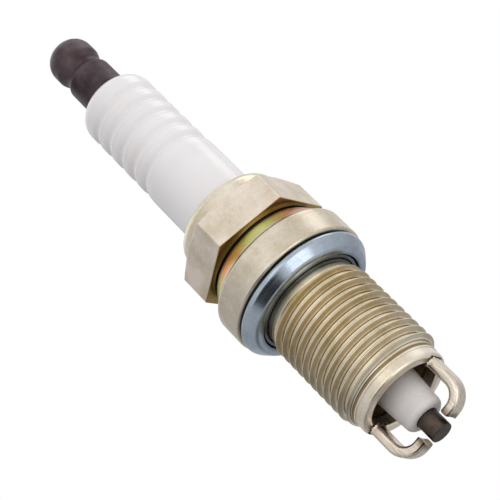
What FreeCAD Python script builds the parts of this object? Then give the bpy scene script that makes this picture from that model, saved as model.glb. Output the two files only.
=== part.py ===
"""A spark plug: M14 x 1.25 thread, 19 mm reach, 16 mm hexagon, folded gasket, two side electrodes.

The plug lies along the X axis. +X points to the firing end, +Z is up, and the origin is on the
plug's axis in the plane of the flange's sealing face. Every length is in millimetres.
Each outline below is half a section: pairs of (distance along X, radius), turned about X.
"""
import FreeCAD, Part  # FreeCAD comes first: Part needs it loaded
import math
import os

import Sketcher
from FreeCAD import Placement, Rotation, Vector

SIZES = {
    # threaded shank and bore of the metal shell
    "reach": 19.0,
    "thread_radius": 6.95,
    "thread_pitch": 1.25,
    "thread_depth": 0.72,
    "neck_radius": 6.05,
    "neck_length": 3.2,
    "pilot_radius": 6.12,
    "pilot_length": 1.5,
    "mouth_radius": 4.75,
    "ledge_radius": 3.75,
    "ledge_start": 6.6,
    "ledge_length": 0.9,
    "edge_break": 0.15,
    # flange, lock band and hexagon
    "flange_radius": 9.45,
    "flange_height": 4.2,
    "flange_rounding": 0.45,
    "band_radius": 7.7,
    "band_height": 2.1,
    "band_groove_width": 0.35,
    "band_groove_depth": 0.35,
    "collar_height": 0.35,
    "hexagon_width": 16.0,
    "hexagon_height": 4.9,
    "hexagon_phase": 46.0,
    "hexagon_chamfer": 0.45,
    "chamfer_inset": 0.05,
    "crimp_wall": 1.95,
    "crimp_height": 2.7,
    "crimp_rounding": 1.3,
    "crimp_lip": 0.7,
    "crimp_taper": 0.1,
    "packing_space": 1.15,
    # insulator
    "insulator_radius": 5.2,
    "rib_inset": 0.08,
    "rib_start": 24.0,
    "rib_step_length": 0.8,
    "insulator_top": 39.5,
    "top_rounding": 2.2,
    "rib_first": 25.1,
    "rib_pitch": 2.64,
    "rib_groove_radius": 1.6,
    "rib_groove_depth": 0.28,
    "rib_count": 5.0,
    "belly_top": 8.9,
    "belly_bottom": 2.3,
    "belly_slope": 0.7,
    "belly_clearance": 0.4,
    "stem_radius": 4.6,
    "nose_root_radius": 3.45,
    "nose_radius": 2.5,
    "nose_projection": 3.7,
    "nose_rounding": 0.7,
    "bore_radius": 2.0,
    "seat_washer_shift": 0.45,
    # centre electrode, seals and resistor
    "electrode_radius": 1.4,
    "electrode_projection": 6.35,
    "electrode_head_radius": 1.9,
    "electrode_head_length": 1.2,
    "electrode_head_start": 1.4,
    "core_radius": 0.8,
    "core_projection": 2.0,
    "lower_seal_length": 3.0,
    "resistor_length": 8.0,
    "upper_seal_length": 2.6,
    # terminal stud and its screwed nut
    "stud_radius": 1.9,
    "stud_thread_radius": 1.98,
    "stud_thread_pitch": 0.7,
    "stud_thread_depth": 0.4,
    "stud_collar_radius": 2.7,
    "stud_collar_height": 0.8,
    "stud_relief_length": 0.5,
    "stud_top": 47.7,
    "nut_radius": 3.175,
    "nut_waist_radius": 2.72,
    "nut_top": 50.8,
    "nut_head_height": 5.5,
    "nut_waist_length": 0.5,
    "nut_head_taper": 1.3,
    "nut_head_rounding": 1.1,
    "nut_dome_rounding": 2.3,
    "nut_skirt_rounding": 0.5,
    "nut_drill_point": 0.5,
    "nut_skirt_top": 44.4,
    "nut_bore_clearance": 0.06,
    # ground electrodes
    "strip_thickness": 1.3,
    "strip_width": 2.4,
    "strip_rounding": 0.4,
    "strip_setback": 0.3,
    "strip_leg_radius": 5.03,
    "strip_bend_radius": 2.3,
    "spark_gap": 0.8,
    "strip_phase": 40.0,
    # folded seat gasket
    "gasket_gap": 0.15,
    "gasket_fold_radius": 1.04,
    "gasket_sheet": 0.45,
    "gasket_radius": 9.25,
    "gasket_leaf_radius": 7.35,
    "gasket_lip_radius": 6.6,
    "gasket_lip_drop": 0.3,
    # packing
    "wire_radius": 0.5,
    "fit_clearance": 0.1,
}

CUT_MARGIN = 1.0
THREAD_LIFT = 0.1
GROOVE_HALF_WIDTH = 0.42  # share of the pitch, measured at the crest
FOLD_SHARE = 0.98
ROLL_SHARE = 0.8
SOFT_EDGE = 0.7
MATCH_TOLERANCE = 1e-4

doc = FreeCAD.newDocument("spark_plug")
sheet = doc.addObject("Spreadsheet::Sheet", "Sizes")
for row, (alias, size) in enumerate(SIZES.items(), start=1):
    sheet.set(f"A{row}", alias)
    sheet.set(f"B{row}", str(size))
    sheet.setAlias(f"B{row}", alias)
doc.recompute()

SHEET_NAMES = {alias: f"Sizes.{alias}" for alias in SIZES}


def bound(formula):
    """Return a formula such as "{reach} - 1" as an expression that reads the spreadsheet."""
    return formula.format(**SHEET_NAMES)


def value(formula):
    """Return the number that a formula has now."""
    return float(sheet.evalExpression(bound(formula)))


def origin_plane(body, role):
    """Return one of a body's own origin planes."""
    return next(item for item in body.Origin.OriginFeatures if item.Role == role)


def new_body(label):
    body = doc.addObject("PartDesign::Body", label)
    body.Label = label
    return body


def new_sketch(body, name, role="XY_Plane", turn=None):
    """Add a sketch on one of the body's planes, turned about X by the formula `turn`."""
    sketch = body.newObject("Sketcher::SketchObject", name)
    sketch.AttachmentSupport = [(origin_plane(body, role), "")]
    sketch.MapMode = "FlatFace"
    if turn is not None:
        sketch.AttachmentOffset = Placement(Vector(), Rotation(Vector(1, 0, 0), value(turn)))
        sketch.setExpression("AttachmentOffset.Rotation.Angle", bound(turn))
    return sketch


def pin_point(sketch, geometry, end, along, radius):
    """Hold one end of a line at two distances from the sketch's origin."""
    for kind, formula in (("DistanceX", along), ("DistanceY", radius)):
        now = value(formula)
        if abs(now) < MATCH_TOLERANCE:
            axis = -1 if kind == "DistanceY" else -2
            sketch.addConstraint(Sketcher.Constraint("PointOnObject", geometry, end, axis))
            continue
        ends = (-1, 1, geometry, end) if now > 0 else (geometry, end, -1, 1)
        index = sketch.addConstraint(Sketcher.Constraint(kind, *ends, abs(now)))
        sign = "" if now > 0 else "-"
        sketch.setExpression(f"Constraints[{index}]", f"{sign}({bound(formula)})")


def draw_outline(sketch, corners):
    """Draw a closed outline of straight lines through corners given as pairs of formulas."""
    points = [Vector(value(along), value(radius), 0) for along, radius in corners]
    count = len(points)
    for index in range(count):
        sketch.addGeometry(Part.LineSegment(points[index], points[(index + 1) % count]), False)
    for index in range(count):
        joined = (index, 2, (index + 1) % count, 1)
        sketch.addConstraint(Sketcher.Constraint("Coincident", *joined))
    for index, (along, radius) in enumerate(corners):
        pin_point(sketch, index, 1, along, radius)


def draw_circle(sketch, along, radius_from_axis, radius):
    """Draw a circle by its centre and radius, all given as formulas."""
    centre = Vector(value(along), value(radius_from_axis), 0)
    sketch.addGeometry(Part.Circle(centre, Vector(0, 0, 1), value(radius)), False)
    index = sketch.addConstraint(Sketcher.Constraint("Radius", 0, value(radius)))
    sketch.setExpression(f"Constraints[{index}]", bound(radius))
    pin_point(sketch, 0, 3, along, radius_from_axis)


def turned(body, name, corners):
    """Add a solid turned about X from an outline."""
    sketch = new_sketch(body, name + "_outline")
    draw_outline(sketch, corners)
    feature = body.newObject("PartDesign::Revolution", name)
    feature.Profile = sketch
    feature.ReferenceAxis = (sketch, ["H_Axis"])
    feature.Angle = 360.0
    doc.recompute()
    return feature


def turned_cut(body, name, draw):
    """Cut a ring turned about X from the sketch that `draw` fills."""
    sketch = new_sketch(body, name + "_outline")
    draw(sketch)
    feature = body.newObject("PartDesign::Groove", name)
    feature.Profile = sketch
    feature.ReferenceAxis = (sketch, ["H_Axis"])
    feature.Angle = 360.0
    doc.recompute()
    return feature


def ring_edges(shape, rings):
    """Return the names of a shape's circular edges that have a given place and radius."""
    places = [(value(along), value(radius)) for along, radius in rings]
    names = []
    for number, edge in enumerate(shape.Edges, start=1):
        if not isinstance(edge.Curve, Part.Circle):
            continue
        here = (edge.Curve.Center.x, edge.Curve.Radius)
        if any(math.dist(here, place) < MATCH_TOLERANCE for place in places):
            names.append(f"Edge{number}")
    if not names:
        raise RuntimeError(f"no circular edge at {places}")
    return names


def rounded(body, name, base, rings, radius):
    """Round circular edges, given as pairs of formulas, to a radius formula."""
    feature = body.newObject("PartDesign::Fillet", name)
    feature.Base = (base, ring_edges(base.Shape, rings))
    feature.Radius = value(radius)
    feature.setExpression("Radius", bound(radius))
    doc.recompute()
    return feature


def screw_cut(body, name, start, length, crest, depth, pitch):
    """Cut a right-handed thread about X: a 60 degree groove with a flat root."""
    lift = THREAD_LIFT
    slope = "tan(30 deg)"
    half_crest = f"({pitch}) * {GROOVE_HALF_WIDTH}"
    sketch = new_sketch(body, name + "_groove")
    outer = f"({half_crest} + {lift} * {slope})"
    inner = f"({half_crest} - ({depth}) * {slope})"
    draw_outline(sketch, [
        (f"{start} - {outer}", f"{crest} + {lift}"),
        (f"{start} + {outer}", f"{crest} + {lift}"),
        (f"{start} + {inner}", f"{crest} - {depth}"),
        (f"{start} - {inner}", f"{crest} - {depth}"),
    ])
    feature = body.newObject("PartDesign::SubtractiveHelix", name)
    feature.Profile = sketch
    feature.ReferenceAxis = (sketch, ["H_Axis"])
    feature.Mode = 0
    feature.setExpression("Pitch", bound(pitch))
    feature.setExpression("Height", bound(length))
    doc.recompute()
    return feature


# Radii and places along X that several pieces share.
PACKING_RADIUS = "({insulator_radius} + {packing_space})"
BELLY_RADIUS = f"({PACKING_RADIUS} - {{fit_clearance}})"
CRIMP_RADIUS = "({insulator_radius} + {crimp_wall})"
RIB_RADIUS = "({insulator_radius} - {rib_inset})"
NOSE_END = "({reach} + {nose_projection})"
ELECTRODE_END = "({reach} + {electrode_projection})"
CORE_END = "({reach} + {core_projection})"
FLANGE_TOP = "-{flange_height}"
BAND_TOP = "-({flange_height} + {band_height})"
GROOVE_TOP = f"({BAND_TOP} - {{band_groove_width}})"
HEXAGON_BOTTOM = f"({GROOVE_TOP} - {{collar_height}})"
HEXAGON_TOP = f"({HEXAGON_BOTTOM} - {{hexagon_height}})"
CRIMP_TOP = f"({HEXAGON_TOP} - {{crimp_height}})"
CRIMP_UNDERSIDE = f"({CRIMP_TOP} + {{crimp_lip}})"
CORNER_RADIUS = "({hexagon_width} / 2 / cos(30 deg))"
LIP_RADIUS = "({insulator_radius} + {fit_clearance})"
THREAD_TAPER = "({thread_radius} - {neck_radius})"
PILOT_START = "({reach} - {pilot_length})"
LEDGE_FOOT = "({ledge_start} + {mouth_radius} - {ledge_radius})"
LEDGE_END = f"({LEDGE_FOOT} + {{ledge_length}})"
SHELL_CONE_START = "-({belly_bottom} - {belly_clearance})"
SHELL_CONE_END = f"({SHELL_CONE_START} + ({PACKING_RADIUS} - {{mouth_radius}}) * {{belly_slope}})"


def shell():
    """The nickel-plated steel shell: crimp, hexagon, lock band, flange, neck and thread."""
    body = new_body("shell")
    base = turned(body, "shell_turned", [
        (CRIMP_TOP, LIP_RADIUS),
        (CRIMP_TOP, CRIMP_RADIUS),
        (HEXAGON_TOP, f"{CRIMP_RADIUS} + {{crimp_taper}}"),
        (HEXAGON_TOP, "{hexagon_width} / 2 - {chamfer_inset}"),
        (f"{HEXAGON_TOP} + {{hexagon_chamfer}}", CORNER_RADIUS),
        (HEXAGON_BOTTOM, CORNER_RADIUS),
        (HEXAGON_BOTTOM, "{band_radius}"),
        (GROOVE_TOP, "{band_radius}"),
        (GROOVE_TOP, "{band_radius} - {band_groove_depth}"),
        (BAND_TOP, "{band_radius} - {band_groove_depth}"),
        (BAND_TOP, "{band_radius}"),
        (FLANGE_TOP, "{flange_radius} - {flange_rounding}"),
        (f"{FLANGE_TOP} + {{flange_rounding}}", "{flange_radius}"),
        ("0", "{flange_radius}"),
        ("0", "{neck_radius}"),
        ("{neck_length}", "{neck_radius}"),
        (f"{{neck_length}} + {THREAD_TAPER}", "{thread_radius}"),
        (f"{PILOT_START} - ({{thread_radius}} - {{pilot_radius}})", "{thread_radius}"),
        (PILOT_START, "{pilot_radius}"),
        ("{reach}", "{pilot_radius}"),
        ("{reach}", "{mouth_radius}"),
        (f"{LEDGE_END} + {{mouth_radius}} - {{ledge_radius}}", "{mouth_radius}"),
        (LEDGE_END, "{ledge_radius}"),
        (LEDGE_FOOT, "{ledge_radius}"),
        ("{ledge_start}", "{mouth_radius}"),
        (SHELL_CONE_END, "{mouth_radius}"),
        (SHELL_CONE_START, PACKING_RADIUS),
        (CRIMP_UNDERSIDE, PACKING_RADIUS),
        (CRIMP_UNDERSIDE, LIP_RADIUS),
    ])
    base = rounded(body, "crimp_roll", base, [(CRIMP_TOP, CRIMP_RADIUS)],
                   "{crimp_rounding}")
    base = rounded(body, "flange_edge", base, [("0", "{flange_radius}")],
                   f"{{flange_rounding}} * {SOFT_EDGE}")
    base = rounded(body, "shell_end_edges", base,
                   [("{reach}", "{pilot_radius}"), ("{reach}", "{mouth_radius}")],
                   "{edge_break}")
    flat = new_sketch(body, "hexagon_flat", turn="{hexagon_phase}")
    beyond = f"{CORNER_RADIUS} + {CUT_MARGIN}"
    draw_outline(flat, [
        (HEXAGON_TOP, "{hexagon_width} / 2"),
        (HEXAGON_BOTTOM, "{hexagon_width} / 2"),
        (HEXAGON_BOTTOM, beyond),
        (HEXAGON_TOP, beyond),
    ])
    pocket = body.newObject("PartDesign::Pocket", "hexagon_cut")
    pocket.Profile = flat
    pocket.Midplane = True
    pocket.setExpression("Length", bound("{hexagon_width} * 2"))
    doc.recompute()
    hexagon = body.newObject("PartDesign::PolarPattern", "hexagon")
    hexagon.Originals = [pocket]
    hexagon.Axis = (flat, ["H_Axis"])
    hexagon.Angle = 360.0
    hexagon.Occurrences = 6
    body.Tip = hexagon
    doc.recompute()
    screw_cut(body, "shell_thread", "({neck_length} - {thread_pitch} * 0.6)",
              "{reach} - {pilot_length} - {neck_length} + {thread_pitch}",
              "{thread_radius}", "{thread_depth}", "{thread_pitch}")
    return body


ELECTRODE_BORE = "({electrode_radius} + {fit_clearance} / 4)"
HEAD_END = "({electrode_head_start} + {electrode_head_length})"
SEAL_TOP = "({electrode_head_start} - {lower_seal_length})"
RESISTOR_TOP = f"({SEAL_TOP} - {{resistor_length}})"
STUD_BOTTOM = f"({RESISTOR_TOP} - {{upper_seal_length}})"
SEAT_SHIFTED = "({ledge_start} - {seat_washer_shift})"


def insulator():
    """The glazed alumina insulator, from its ribbed top to the bare nose."""
    body = new_body("insulator")
    seat_start = f"({SEAT_SHIFTED} + {{mouth_radius}} - {{stem_radius}})"
    seat_end = f"({SEAT_SHIFTED} + {{mouth_radius}} - {{nose_root_radius}})"
    base = turned(body, "insulator_turned", [
        ("-{insulator_top}", "{bore_radius}"),
        ("-{insulator_top}", RIB_RADIUS),
        ("-{rib_start}", RIB_RADIUS),
        ("-{rib_start} + {rib_step_length}", "{insulator_radius}"),
        ("-{belly_top}", "{insulator_radius}"),
        ("-{belly_top}", BELLY_RADIUS),
        ("-{belly_bottom}", BELLY_RADIUS),
        (f"-{{belly_bottom}} + ({BELLY_RADIUS} - {{stem_radius}}) * {{belly_slope}}",
         "{stem_radius}"),
        (seat_start, "{stem_radius}"),
        (seat_end, "{nose_root_radius}"),
        (NOSE_END, "{nose_radius}"),
        (NOSE_END, ELECTRODE_BORE),
        (HEAD_END, ELECTRODE_BORE),
        (HEAD_END, "{bore_radius}"),
    ])
    base = rounded(body, "insulator_top_round", base,
                   [("-{insulator_top}", RIB_RADIUS)], "{top_rounding}")
    base = rounded(body, "nose_round", base, [(NOSE_END, "{nose_radius}")],
                   "{nose_rounding}")
    groove = turned_cut(body, "rib_groove", lambda sketch: draw_circle(
        sketch, "-{rib_first}",
        f"{RIB_RADIUS} + {{rib_groove_radius}} - {{rib_groove_depth}}", "{rib_groove_radius}"))
    ribs = body.newObject("PartDesign::LinearPattern", "ribs")
    ribs.Originals = [groove]
    ribs.Direction = (groove.Profile[0], ["H_Axis"])
    ribs.Reversed = True
    ribs.Mode = 0
    ribs.setExpression("Length", bound("{rib_pitch} * ({rib_count} - 1)"))
    ribs.setExpression("Occurrences", bound("{rib_count}"))
    body.Tip = ribs
    doc.recompute()
    return body


def centre_electrode_sheath():
    """The nickel-alloy centre electrode, hollow for its copper core."""
    body = new_body("centre_electrode_sheath")
    turned(body, "sheath_turned", [
        ("{electrode_head_start}", "{core_radius}"),
        ("{electrode_head_start}", "{electrode_head_radius}"),
        (HEAD_END, "{electrode_head_radius}"),
        (HEAD_END, "{electrode_radius}"),
        (ELECTRODE_END, "{electrode_radius}"),
        (ELECTRODE_END, "0"),
        (CORE_END, "0"),
        (CORE_END, "{core_radius}"),
    ])
    rounded(body, "sheath_tip_edge", body.Tip, [(ELECTRODE_END, "{electrode_radius}")],
            f"{{edge_break}} * {SOFT_EDGE}")
    return body


def plain_rod(label, start, end, radius):
    """A plain round rod along X, for a piece that fills a bore."""
    body = new_body(label)
    turned(body, label + "_turned", [(start, "0"), (start, radius), (end, radius), (end, "0")])
    return body


def plain_ring(label, start, end, inner, outer):
    """A plain ring of square section about X."""
    body = new_body(label)
    turned(body, label + "_turned", [(start, inner), (start, outer), (end, outer), (end, inner)])
    return body


def wire_ring(label, centre):
    """A round-wire packing ring that fills the space between insulator and shell."""
    body = new_body(label)
    sketch = new_sketch(body, label + "_section")
    draw_circle(sketch, centre, f"({{insulator_radius}} + {PACKING_RADIUS}) / 2", "{wire_radius}")
    feature = body.newObject("PartDesign::Revolution", label + "_turned")
    feature.Profile = sketch
    feature.ReferenceAxis = (sketch, ["H_Axis"])
    feature.Angle = 360.0
    doc.recompute()
    return body


def inner_seat_washer():
    """The conical washer that seals the insulator's step on the shell's ledge."""
    body = new_body("inner_seat_washer")
    outer = "({stem_radius} + {mouth_radius}) / 2"
    inner = "({ledge_radius} + {fit_clearance} / 2)"
    turned(body, "inner_seat_washer_turned", [
        (f"{SEAT_SHIFTED} + {{mouth_radius}} - {outer}", outer),
        (f"{{ledge_start}} + {{mouth_radius}} - {outer}", outer),
        (f"{{ledge_start}} + {{mouth_radius}} - {inner}", inner),
        (f"{SEAT_SHIFTED} + {{mouth_radius}} - {inner}", inner),
    ])
    return body


def terminal_stud():
    """The steel stud: rooted in the glass seal below, screw-cut for the nut above."""
    body = new_body("terminal_stud")
    collar_top = "-({insulator_top} + {stud_collar_height})"
    turned(body, "stud_turned", [
        (STUD_BOTTOM, "0"),
        (STUD_BOTTOM, "{stud_radius}"),
        ("-{insulator_top}", "{stud_radius}"),
        ("-{insulator_top}", "{stud_collar_radius}"),
        (collar_top, "{stud_collar_radius}"),
        (collar_top, "{stud_radius} - {stud_thread_depth}"),
        (f"{collar_top} - {{stud_relief_length}}", "{stud_radius} - {stud_thread_depth}"),
        (f"{collar_top} - {{stud_relief_length}}", "{stud_thread_radius}"),
        ("-({stud_top} - {stud_thread_depth})", "{stud_thread_radius}"),
        ("-{stud_top}", "{stud_thread_radius} - {stud_thread_depth}"),
        ("-{stud_top}", "0"),
    ])
    screw_cut(body, "stud_thread", "-({stud_top} + {stud_thread_pitch})",
              "{stud_top} - {insulator_top} - {stud_collar_height}",
              "{stud_thread_radius}", "{stud_thread_depth}", "{stud_thread_pitch}")
    return body


def terminal_nut():
    """The terminal nut: domed head, waist and skirt, bored from below for the stud."""
    body = new_body("terminal_nut")
    bore = "({stud_thread_radius} + {nut_bore_clearance})"
    collar_bore = "({stud_collar_radius} + {fit_clearance})"
    collar_top = "-({insulator_top} + {stud_collar_height} + {fit_clearance})"
    rim = "-({insulator_top} + {fit_clearance})"
    waist_end = "({nut_top} - {nut_head_height} + {nut_waist_length})"
    head_base = f"-({waist_end} + {{nut_head_taper}})"
    base = turned(body, "nut_turned", [
        (rim, collar_bore),
        (rim, "{nut_radius}"),
        ("-{nut_skirt_top}", "{nut_radius}"),
        ("-({nut_top} - {nut_head_height})", "{nut_waist_radius}"),
        (f"-{waist_end}", "{nut_waist_radius}"),
        (head_base, "{nut_radius}"),
        ("-{nut_top}", "{nut_radius}"),
        ("-{nut_top}", "0"),
        ("-({stud_top} + {fit_clearance} + {nut_drill_point})", "0"),
        ("-({stud_top} + {fit_clearance})", bore),
        (collar_top, bore),
        (collar_top, collar_bore),
    ])
    base = rounded(body, "nut_dome", base, [("-{nut_top}", "{nut_radius}")],
                   "{nut_dome_rounding}")
    base = rounded(body, "nut_head_base", base, [(head_base, "{nut_radius}")],
                   "{nut_head_rounding}")
    rounded(body, "nut_skirt_edge", base, [("-{nut_skirt_top}", "{nut_radius}")],
            "{nut_skirt_rounding}")
    return body


def ground_electrode(label, phase):
    """A nickel strip welded on the shell's end, bent inwards to face the centre electrode."""
    body = new_body(label)
    path = new_sketch(body, label + "_path")
    mid_plane = f"({ELECTRODE_END} - {{strip_setback}} - {{strip_thickness}} / 2)"
    bend_start = f"({mid_plane} - {{strip_bend_radius}})"
    bend_top = "({strip_leg_radius} - {strip_bend_radius})"
    start = Vector(value("{reach}"), value("{strip_leg_radius}"), 0)
    bend_in = Vector(value(bend_start), start.y, 0)
    bend_out = Vector(value(mid_plane), value(bend_top), 0)
    centre = Vector(bend_in.x, bend_out.y, 0)
    end = Vector(bend_out.x, value("{electrode_radius}"), 0)
    arc = Part.Circle(centre, Vector(0, 0, 1), value("{strip_bend_radius}"))
    path.addGeometry(Part.LineSegment(start, bend_in), False)
    path.addGeometry(Part.ArcOfCircle(arc, 0.0, math.pi / 2), False)
    path.addGeometry(Part.LineSegment(bend_out, end), False)
    path.addConstraint(Sketcher.Constraint("Tangent", 0, 2, 1, 2))
    path.addConstraint(Sketcher.Constraint("Tangent", 1, 1, 2, 1))
    path.addConstraint(Sketcher.Constraint("Horizontal", 0))
    path.addConstraint(Sketcher.Constraint("Vertical", 2))
    pin_point(path, 0, 1, "{reach}", "{strip_leg_radius}")
    pin_point(path, 2, 2, mid_plane, "{electrode_radius}")
    radius = path.addConstraint(Sketcher.Constraint("Radius", 1, arc.Radius))
    path.setExpression(f"Constraints[{radius}]", bound("{strip_bend_radius}"))

    section = new_sketch(body, label + "_section", role="YZ_Plane")
    section.AttachmentOffset = Placement(Vector(0, 0, start.x), Rotation())
    section.setExpression("AttachmentOffset.Base.z", bound("{reach}"))
    draw_outline(section, [
        ("{strip_leg_radius} - {strip_thickness} / 2", "-{strip_width} / 2"),
        ("{strip_leg_radius} + {strip_thickness} / 2", "-{strip_width} / 2"),
        ("{strip_leg_radius} + {strip_thickness} / 2", "{strip_width} / 2"),
        ("{strip_leg_radius} - {strip_thickness} / 2", "{strip_width} / 2"),
    ])
    doc.recompute()
    strip = body.newObject("PartDesign::AdditivePipe", label + "_strip")
    strip.Profile = section
    strip.Spine = path
    doc.recompute()
    long_edges = [
        f"Edge{number}"
        for number, edge in enumerate(strip.Shape.Edges, start=1)
        if abs(abs(edge.CenterOfMass.z) - value("{strip_width} / 2")) < MATCH_TOLERANCE
        and edge.Length > value("{strip_thickness}") + MATCH_TOLERANCE
    ]
    edges = body.newObject("PartDesign::Fillet", label + "_edges")
    edges.Base = (strip, long_edges)
    edges.setExpression("Radius", bound("{strip_rounding}"))
    doc.recompute()
    hollow = new_sketch(body, label + "_tip_outline", role="YZ_Plane")
    draw_circle(hollow, "0", "0", "{electrode_radius} + {spark_gap}")
    tip = body.newObject("PartDesign::Pocket", label + "_tip")
    tip.Profile = hollow
    tip.Midplane = True
    tip.setExpression("Length", bound(f"{ELECTRODE_END} * 2 + 2"))
    doc.recompute()
    body.Placement = Placement(Vector(), Rotation(Vector(1, 0, 0), value(phase)))
    body.setExpression("Placement.Rotation.Angle", bound(phase))
    return body


def seat_gasket():
    """The folded steel gasket, captive between the flange and the first thread."""
    body = new_body("seat_gasket")
    top = "{gasket_gap}"
    bottom = "({gasket_gap} + 2 * {gasket_fold_radius})"
    fold = "({gasket_radius} - {gasket_fold_radius})"
    lip_end = f"({bottom} - {{gasket_lip_drop}})"
    lip_outer = "({gasket_lip_radius} + {gasket_sheet})"
    base = turned(body, "gasket_turned", [
        (top, "{gasket_lip_radius}"),
        (top, "{gasket_radius}"),
        (bottom, "{gasket_radius}"),
        (bottom, "{gasket_leaf_radius}"),
        (f"{bottom} - {{gasket_sheet}}", "{gasket_leaf_radius}"),
        (f"{bottom} - {{gasket_sheet}}", fold),
        (f"{top} + {{gasket_sheet}}", fold),
        (f"{top} + {{gasket_sheet}}", lip_outer),
        (lip_end, lip_outer),
        (lip_end, "{gasket_lip_radius}"),
    ])
    rolls = [(top, "{gasket_radius}"), (bottom, "{gasket_radius}")]
    base = rounded(body, "gasket_fold", base, rolls, f"{{gasket_fold_radius}} * {FOLD_SHARE}")
    rounded(body, "gasket_lip_roll", base, [(top, "{gasket_lip_radius}")],
            f"{{gasket_sheet}} * {ROLL_SHARE}")
    return body


def packing():
    """Talc between two wire rings, pressed in above the insulator's belly."""
    upper = f"({CRIMP_UNDERSIDE} + {{wire_radius}})"
    lower = "(-{belly_top} - {wire_radius})"
    return [
        wire_ring("upper_packing_ring", upper),
        plain_ring("talc_packing", f"{upper} + {{wire_radius}}", f"{lower} - {{wire_radius}}",
                   "{insulator_radius}", PACKING_RADIUS),
        wire_ring("lower_packing_ring", lower),
    ]


def seals():
    """The stack in the insulator's bore: copper core, glass, resistor and glass."""
    return [
        plain_rod("centre_electrode_core", "{electrode_head_start}", CORE_END,
                  "{core_radius}"),
        plain_rod("lower_glass_seal", SEAL_TOP, "{electrode_head_start}", "{bore_radius}"),
        plain_rod("resistor_element", RESISTOR_TOP, SEAL_TOP, "{bore_radius}"),
        plain_rod("upper_glass_seal", STUD_BOTTOM, RESISTOR_TOP, "{bore_radius}"),
    ]


def main():
    parts = [shell(), insulator(), centre_electrode_sheath(), inner_seat_washer()]
    parts += [terminal_stud(), terminal_nut(), seat_gasket()]
    parts += packing() + seals()
    parts += [
        ground_electrode("ground_electrode_a", "{strip_phase}"),
        ground_electrode("ground_electrode_b", "{strip_phase} + 180"),
    ]
    doc.recompute()
    for item in doc.Objects:
        if {"Invalid", "Error"} & set(item.State):
            raise RuntimeError(f"{item.Name} failed: {item.State}")
    os.makedirs("parts", exist_ok=True)
    for part in parts:
        if part.Shape.isNull() or not part.Shape.isValid():
            raise RuntimeError(f"{part.Label} has no valid shape")
        part.Shape.exportStep(f"parts/{part.Label}.step")
        print(f"{part.Label}: {part.Shape.Volume:.2f} mm3, {len(part.Shape.Solids)} solid")


main()
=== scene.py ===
"""Finishes and fine shapes of a spark plug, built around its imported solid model.

The plug lies along X with its firing end towards +X, as the solid model does. Sizes are in
millimetres in the classes below and become metres where a mesh is made. Angles are in degrees
about X, from +Y towards +Z.
"""

import logging
import math
from collections.abc import Callable, Sequence
from dataclasses import dataclass, field
from enum import Enum

import bmesh
import bpy
from bmesh.types import BMesh, BMVert
from bpy.types import Material, Mesh, Node, NodeSocket, NodeTree, Object
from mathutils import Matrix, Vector

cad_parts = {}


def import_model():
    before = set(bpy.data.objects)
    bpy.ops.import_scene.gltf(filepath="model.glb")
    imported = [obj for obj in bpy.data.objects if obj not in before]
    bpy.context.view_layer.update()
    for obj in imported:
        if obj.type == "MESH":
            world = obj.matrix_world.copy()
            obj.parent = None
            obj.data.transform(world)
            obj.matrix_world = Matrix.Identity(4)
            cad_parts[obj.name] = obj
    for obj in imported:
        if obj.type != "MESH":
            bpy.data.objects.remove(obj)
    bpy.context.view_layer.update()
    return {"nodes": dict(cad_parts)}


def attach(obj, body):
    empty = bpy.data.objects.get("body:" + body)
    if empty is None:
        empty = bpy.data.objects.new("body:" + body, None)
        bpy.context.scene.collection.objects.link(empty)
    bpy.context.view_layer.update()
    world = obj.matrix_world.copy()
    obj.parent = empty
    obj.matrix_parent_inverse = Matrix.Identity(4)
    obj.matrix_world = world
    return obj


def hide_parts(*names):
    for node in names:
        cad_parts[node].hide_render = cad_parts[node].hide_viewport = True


LOG = logging.getLogger("spark_plug")
MM = 0.001
SHARP_ANGLE = math.radians(32.0)
ROUND_COLUMNS = 144
ARC_STEPS = 5
# How far from a rounded edge the flat beside it gets a row of its own.
SUPPORT = 0.06
CLEAN = "FFFFFF"

MATH = "ShaderNodeMath"
VECTOR_MATH = "ShaderNodeVectorMath"
COMBINE = "ShaderNodeCombineXYZ"
SEPARATE = "ShaderNodeSeparateXYZ"
RANGE = "ShaderNodeMapRange"
RAMP = "ShaderNodeValToRGB"
MIX = "ShaderNodeMix"
NOISE = "ShaderNodeTexNoise"
BUMP = "ShaderNodeBump"

Colour = tuple[float, float, float, float]
Point = tuple[float, float]
Corner = tuple[float, float, float]
Row = Point | Callable[[float], Point]
Stops = Sequence[tuple[float, str]]
Inputs = dict[str | int, object]
Given = Inputs | Sequence[object]


class Body(Enum):
    """The moving bodies of the solid model."""

    PLUG = "plug"
    NUT = "terminal_nut"
    GASKET = "seat_gasket"


# ---------------------------------------------------------------- node helpers


def linear(code: str) -> Colour:
    """Turn an sRGB hex colour such as "C8BDA8" into linear numbers with full alpha.

    Args:
        code: Six hex digits.

    Returns:
        Red, green, blue and alpha.
    """
    levels = [int(code[start : start + 2], 16) / 255 for start in (0, 2, 4)]
    red, green, blue = (
        level / 12.92 if level <= 0.04045 else ((level + 0.055) / 1.055) ** 2.4
        for level in levels
    )
    return red, green, blue, 1.0


def per(size: float) -> float:
    """Give the scale of a pattern whose marks are about size millimetres across."""
    return 1 / (size * MM)


def fill(tree: NodeTree, node: Node, inputs: Given) -> None:
    """Give a node its constants and links.

    Args:
        tree: The node tree that holds the node.
        node: The node to fill.
        inputs: Constants, sockets or nodes, by name or by place among the inputs in use. A node
            stands for its first output in use.
    """
    used = [socket for socket in node.inputs if socket.enabled]
    for key, given in dict(inputs if isinstance(inputs, dict) else enumerate(inputs)).items():
        socket = used[key] if isinstance(key, int) else node.inputs[key]
        if isinstance(given, Node):
            given = next(output for output in given.outputs if output.enabled)
        if isinstance(given, NodeSocket):
            tree.links.new(given, socket)
        else:
            socket.default_value = given


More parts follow.
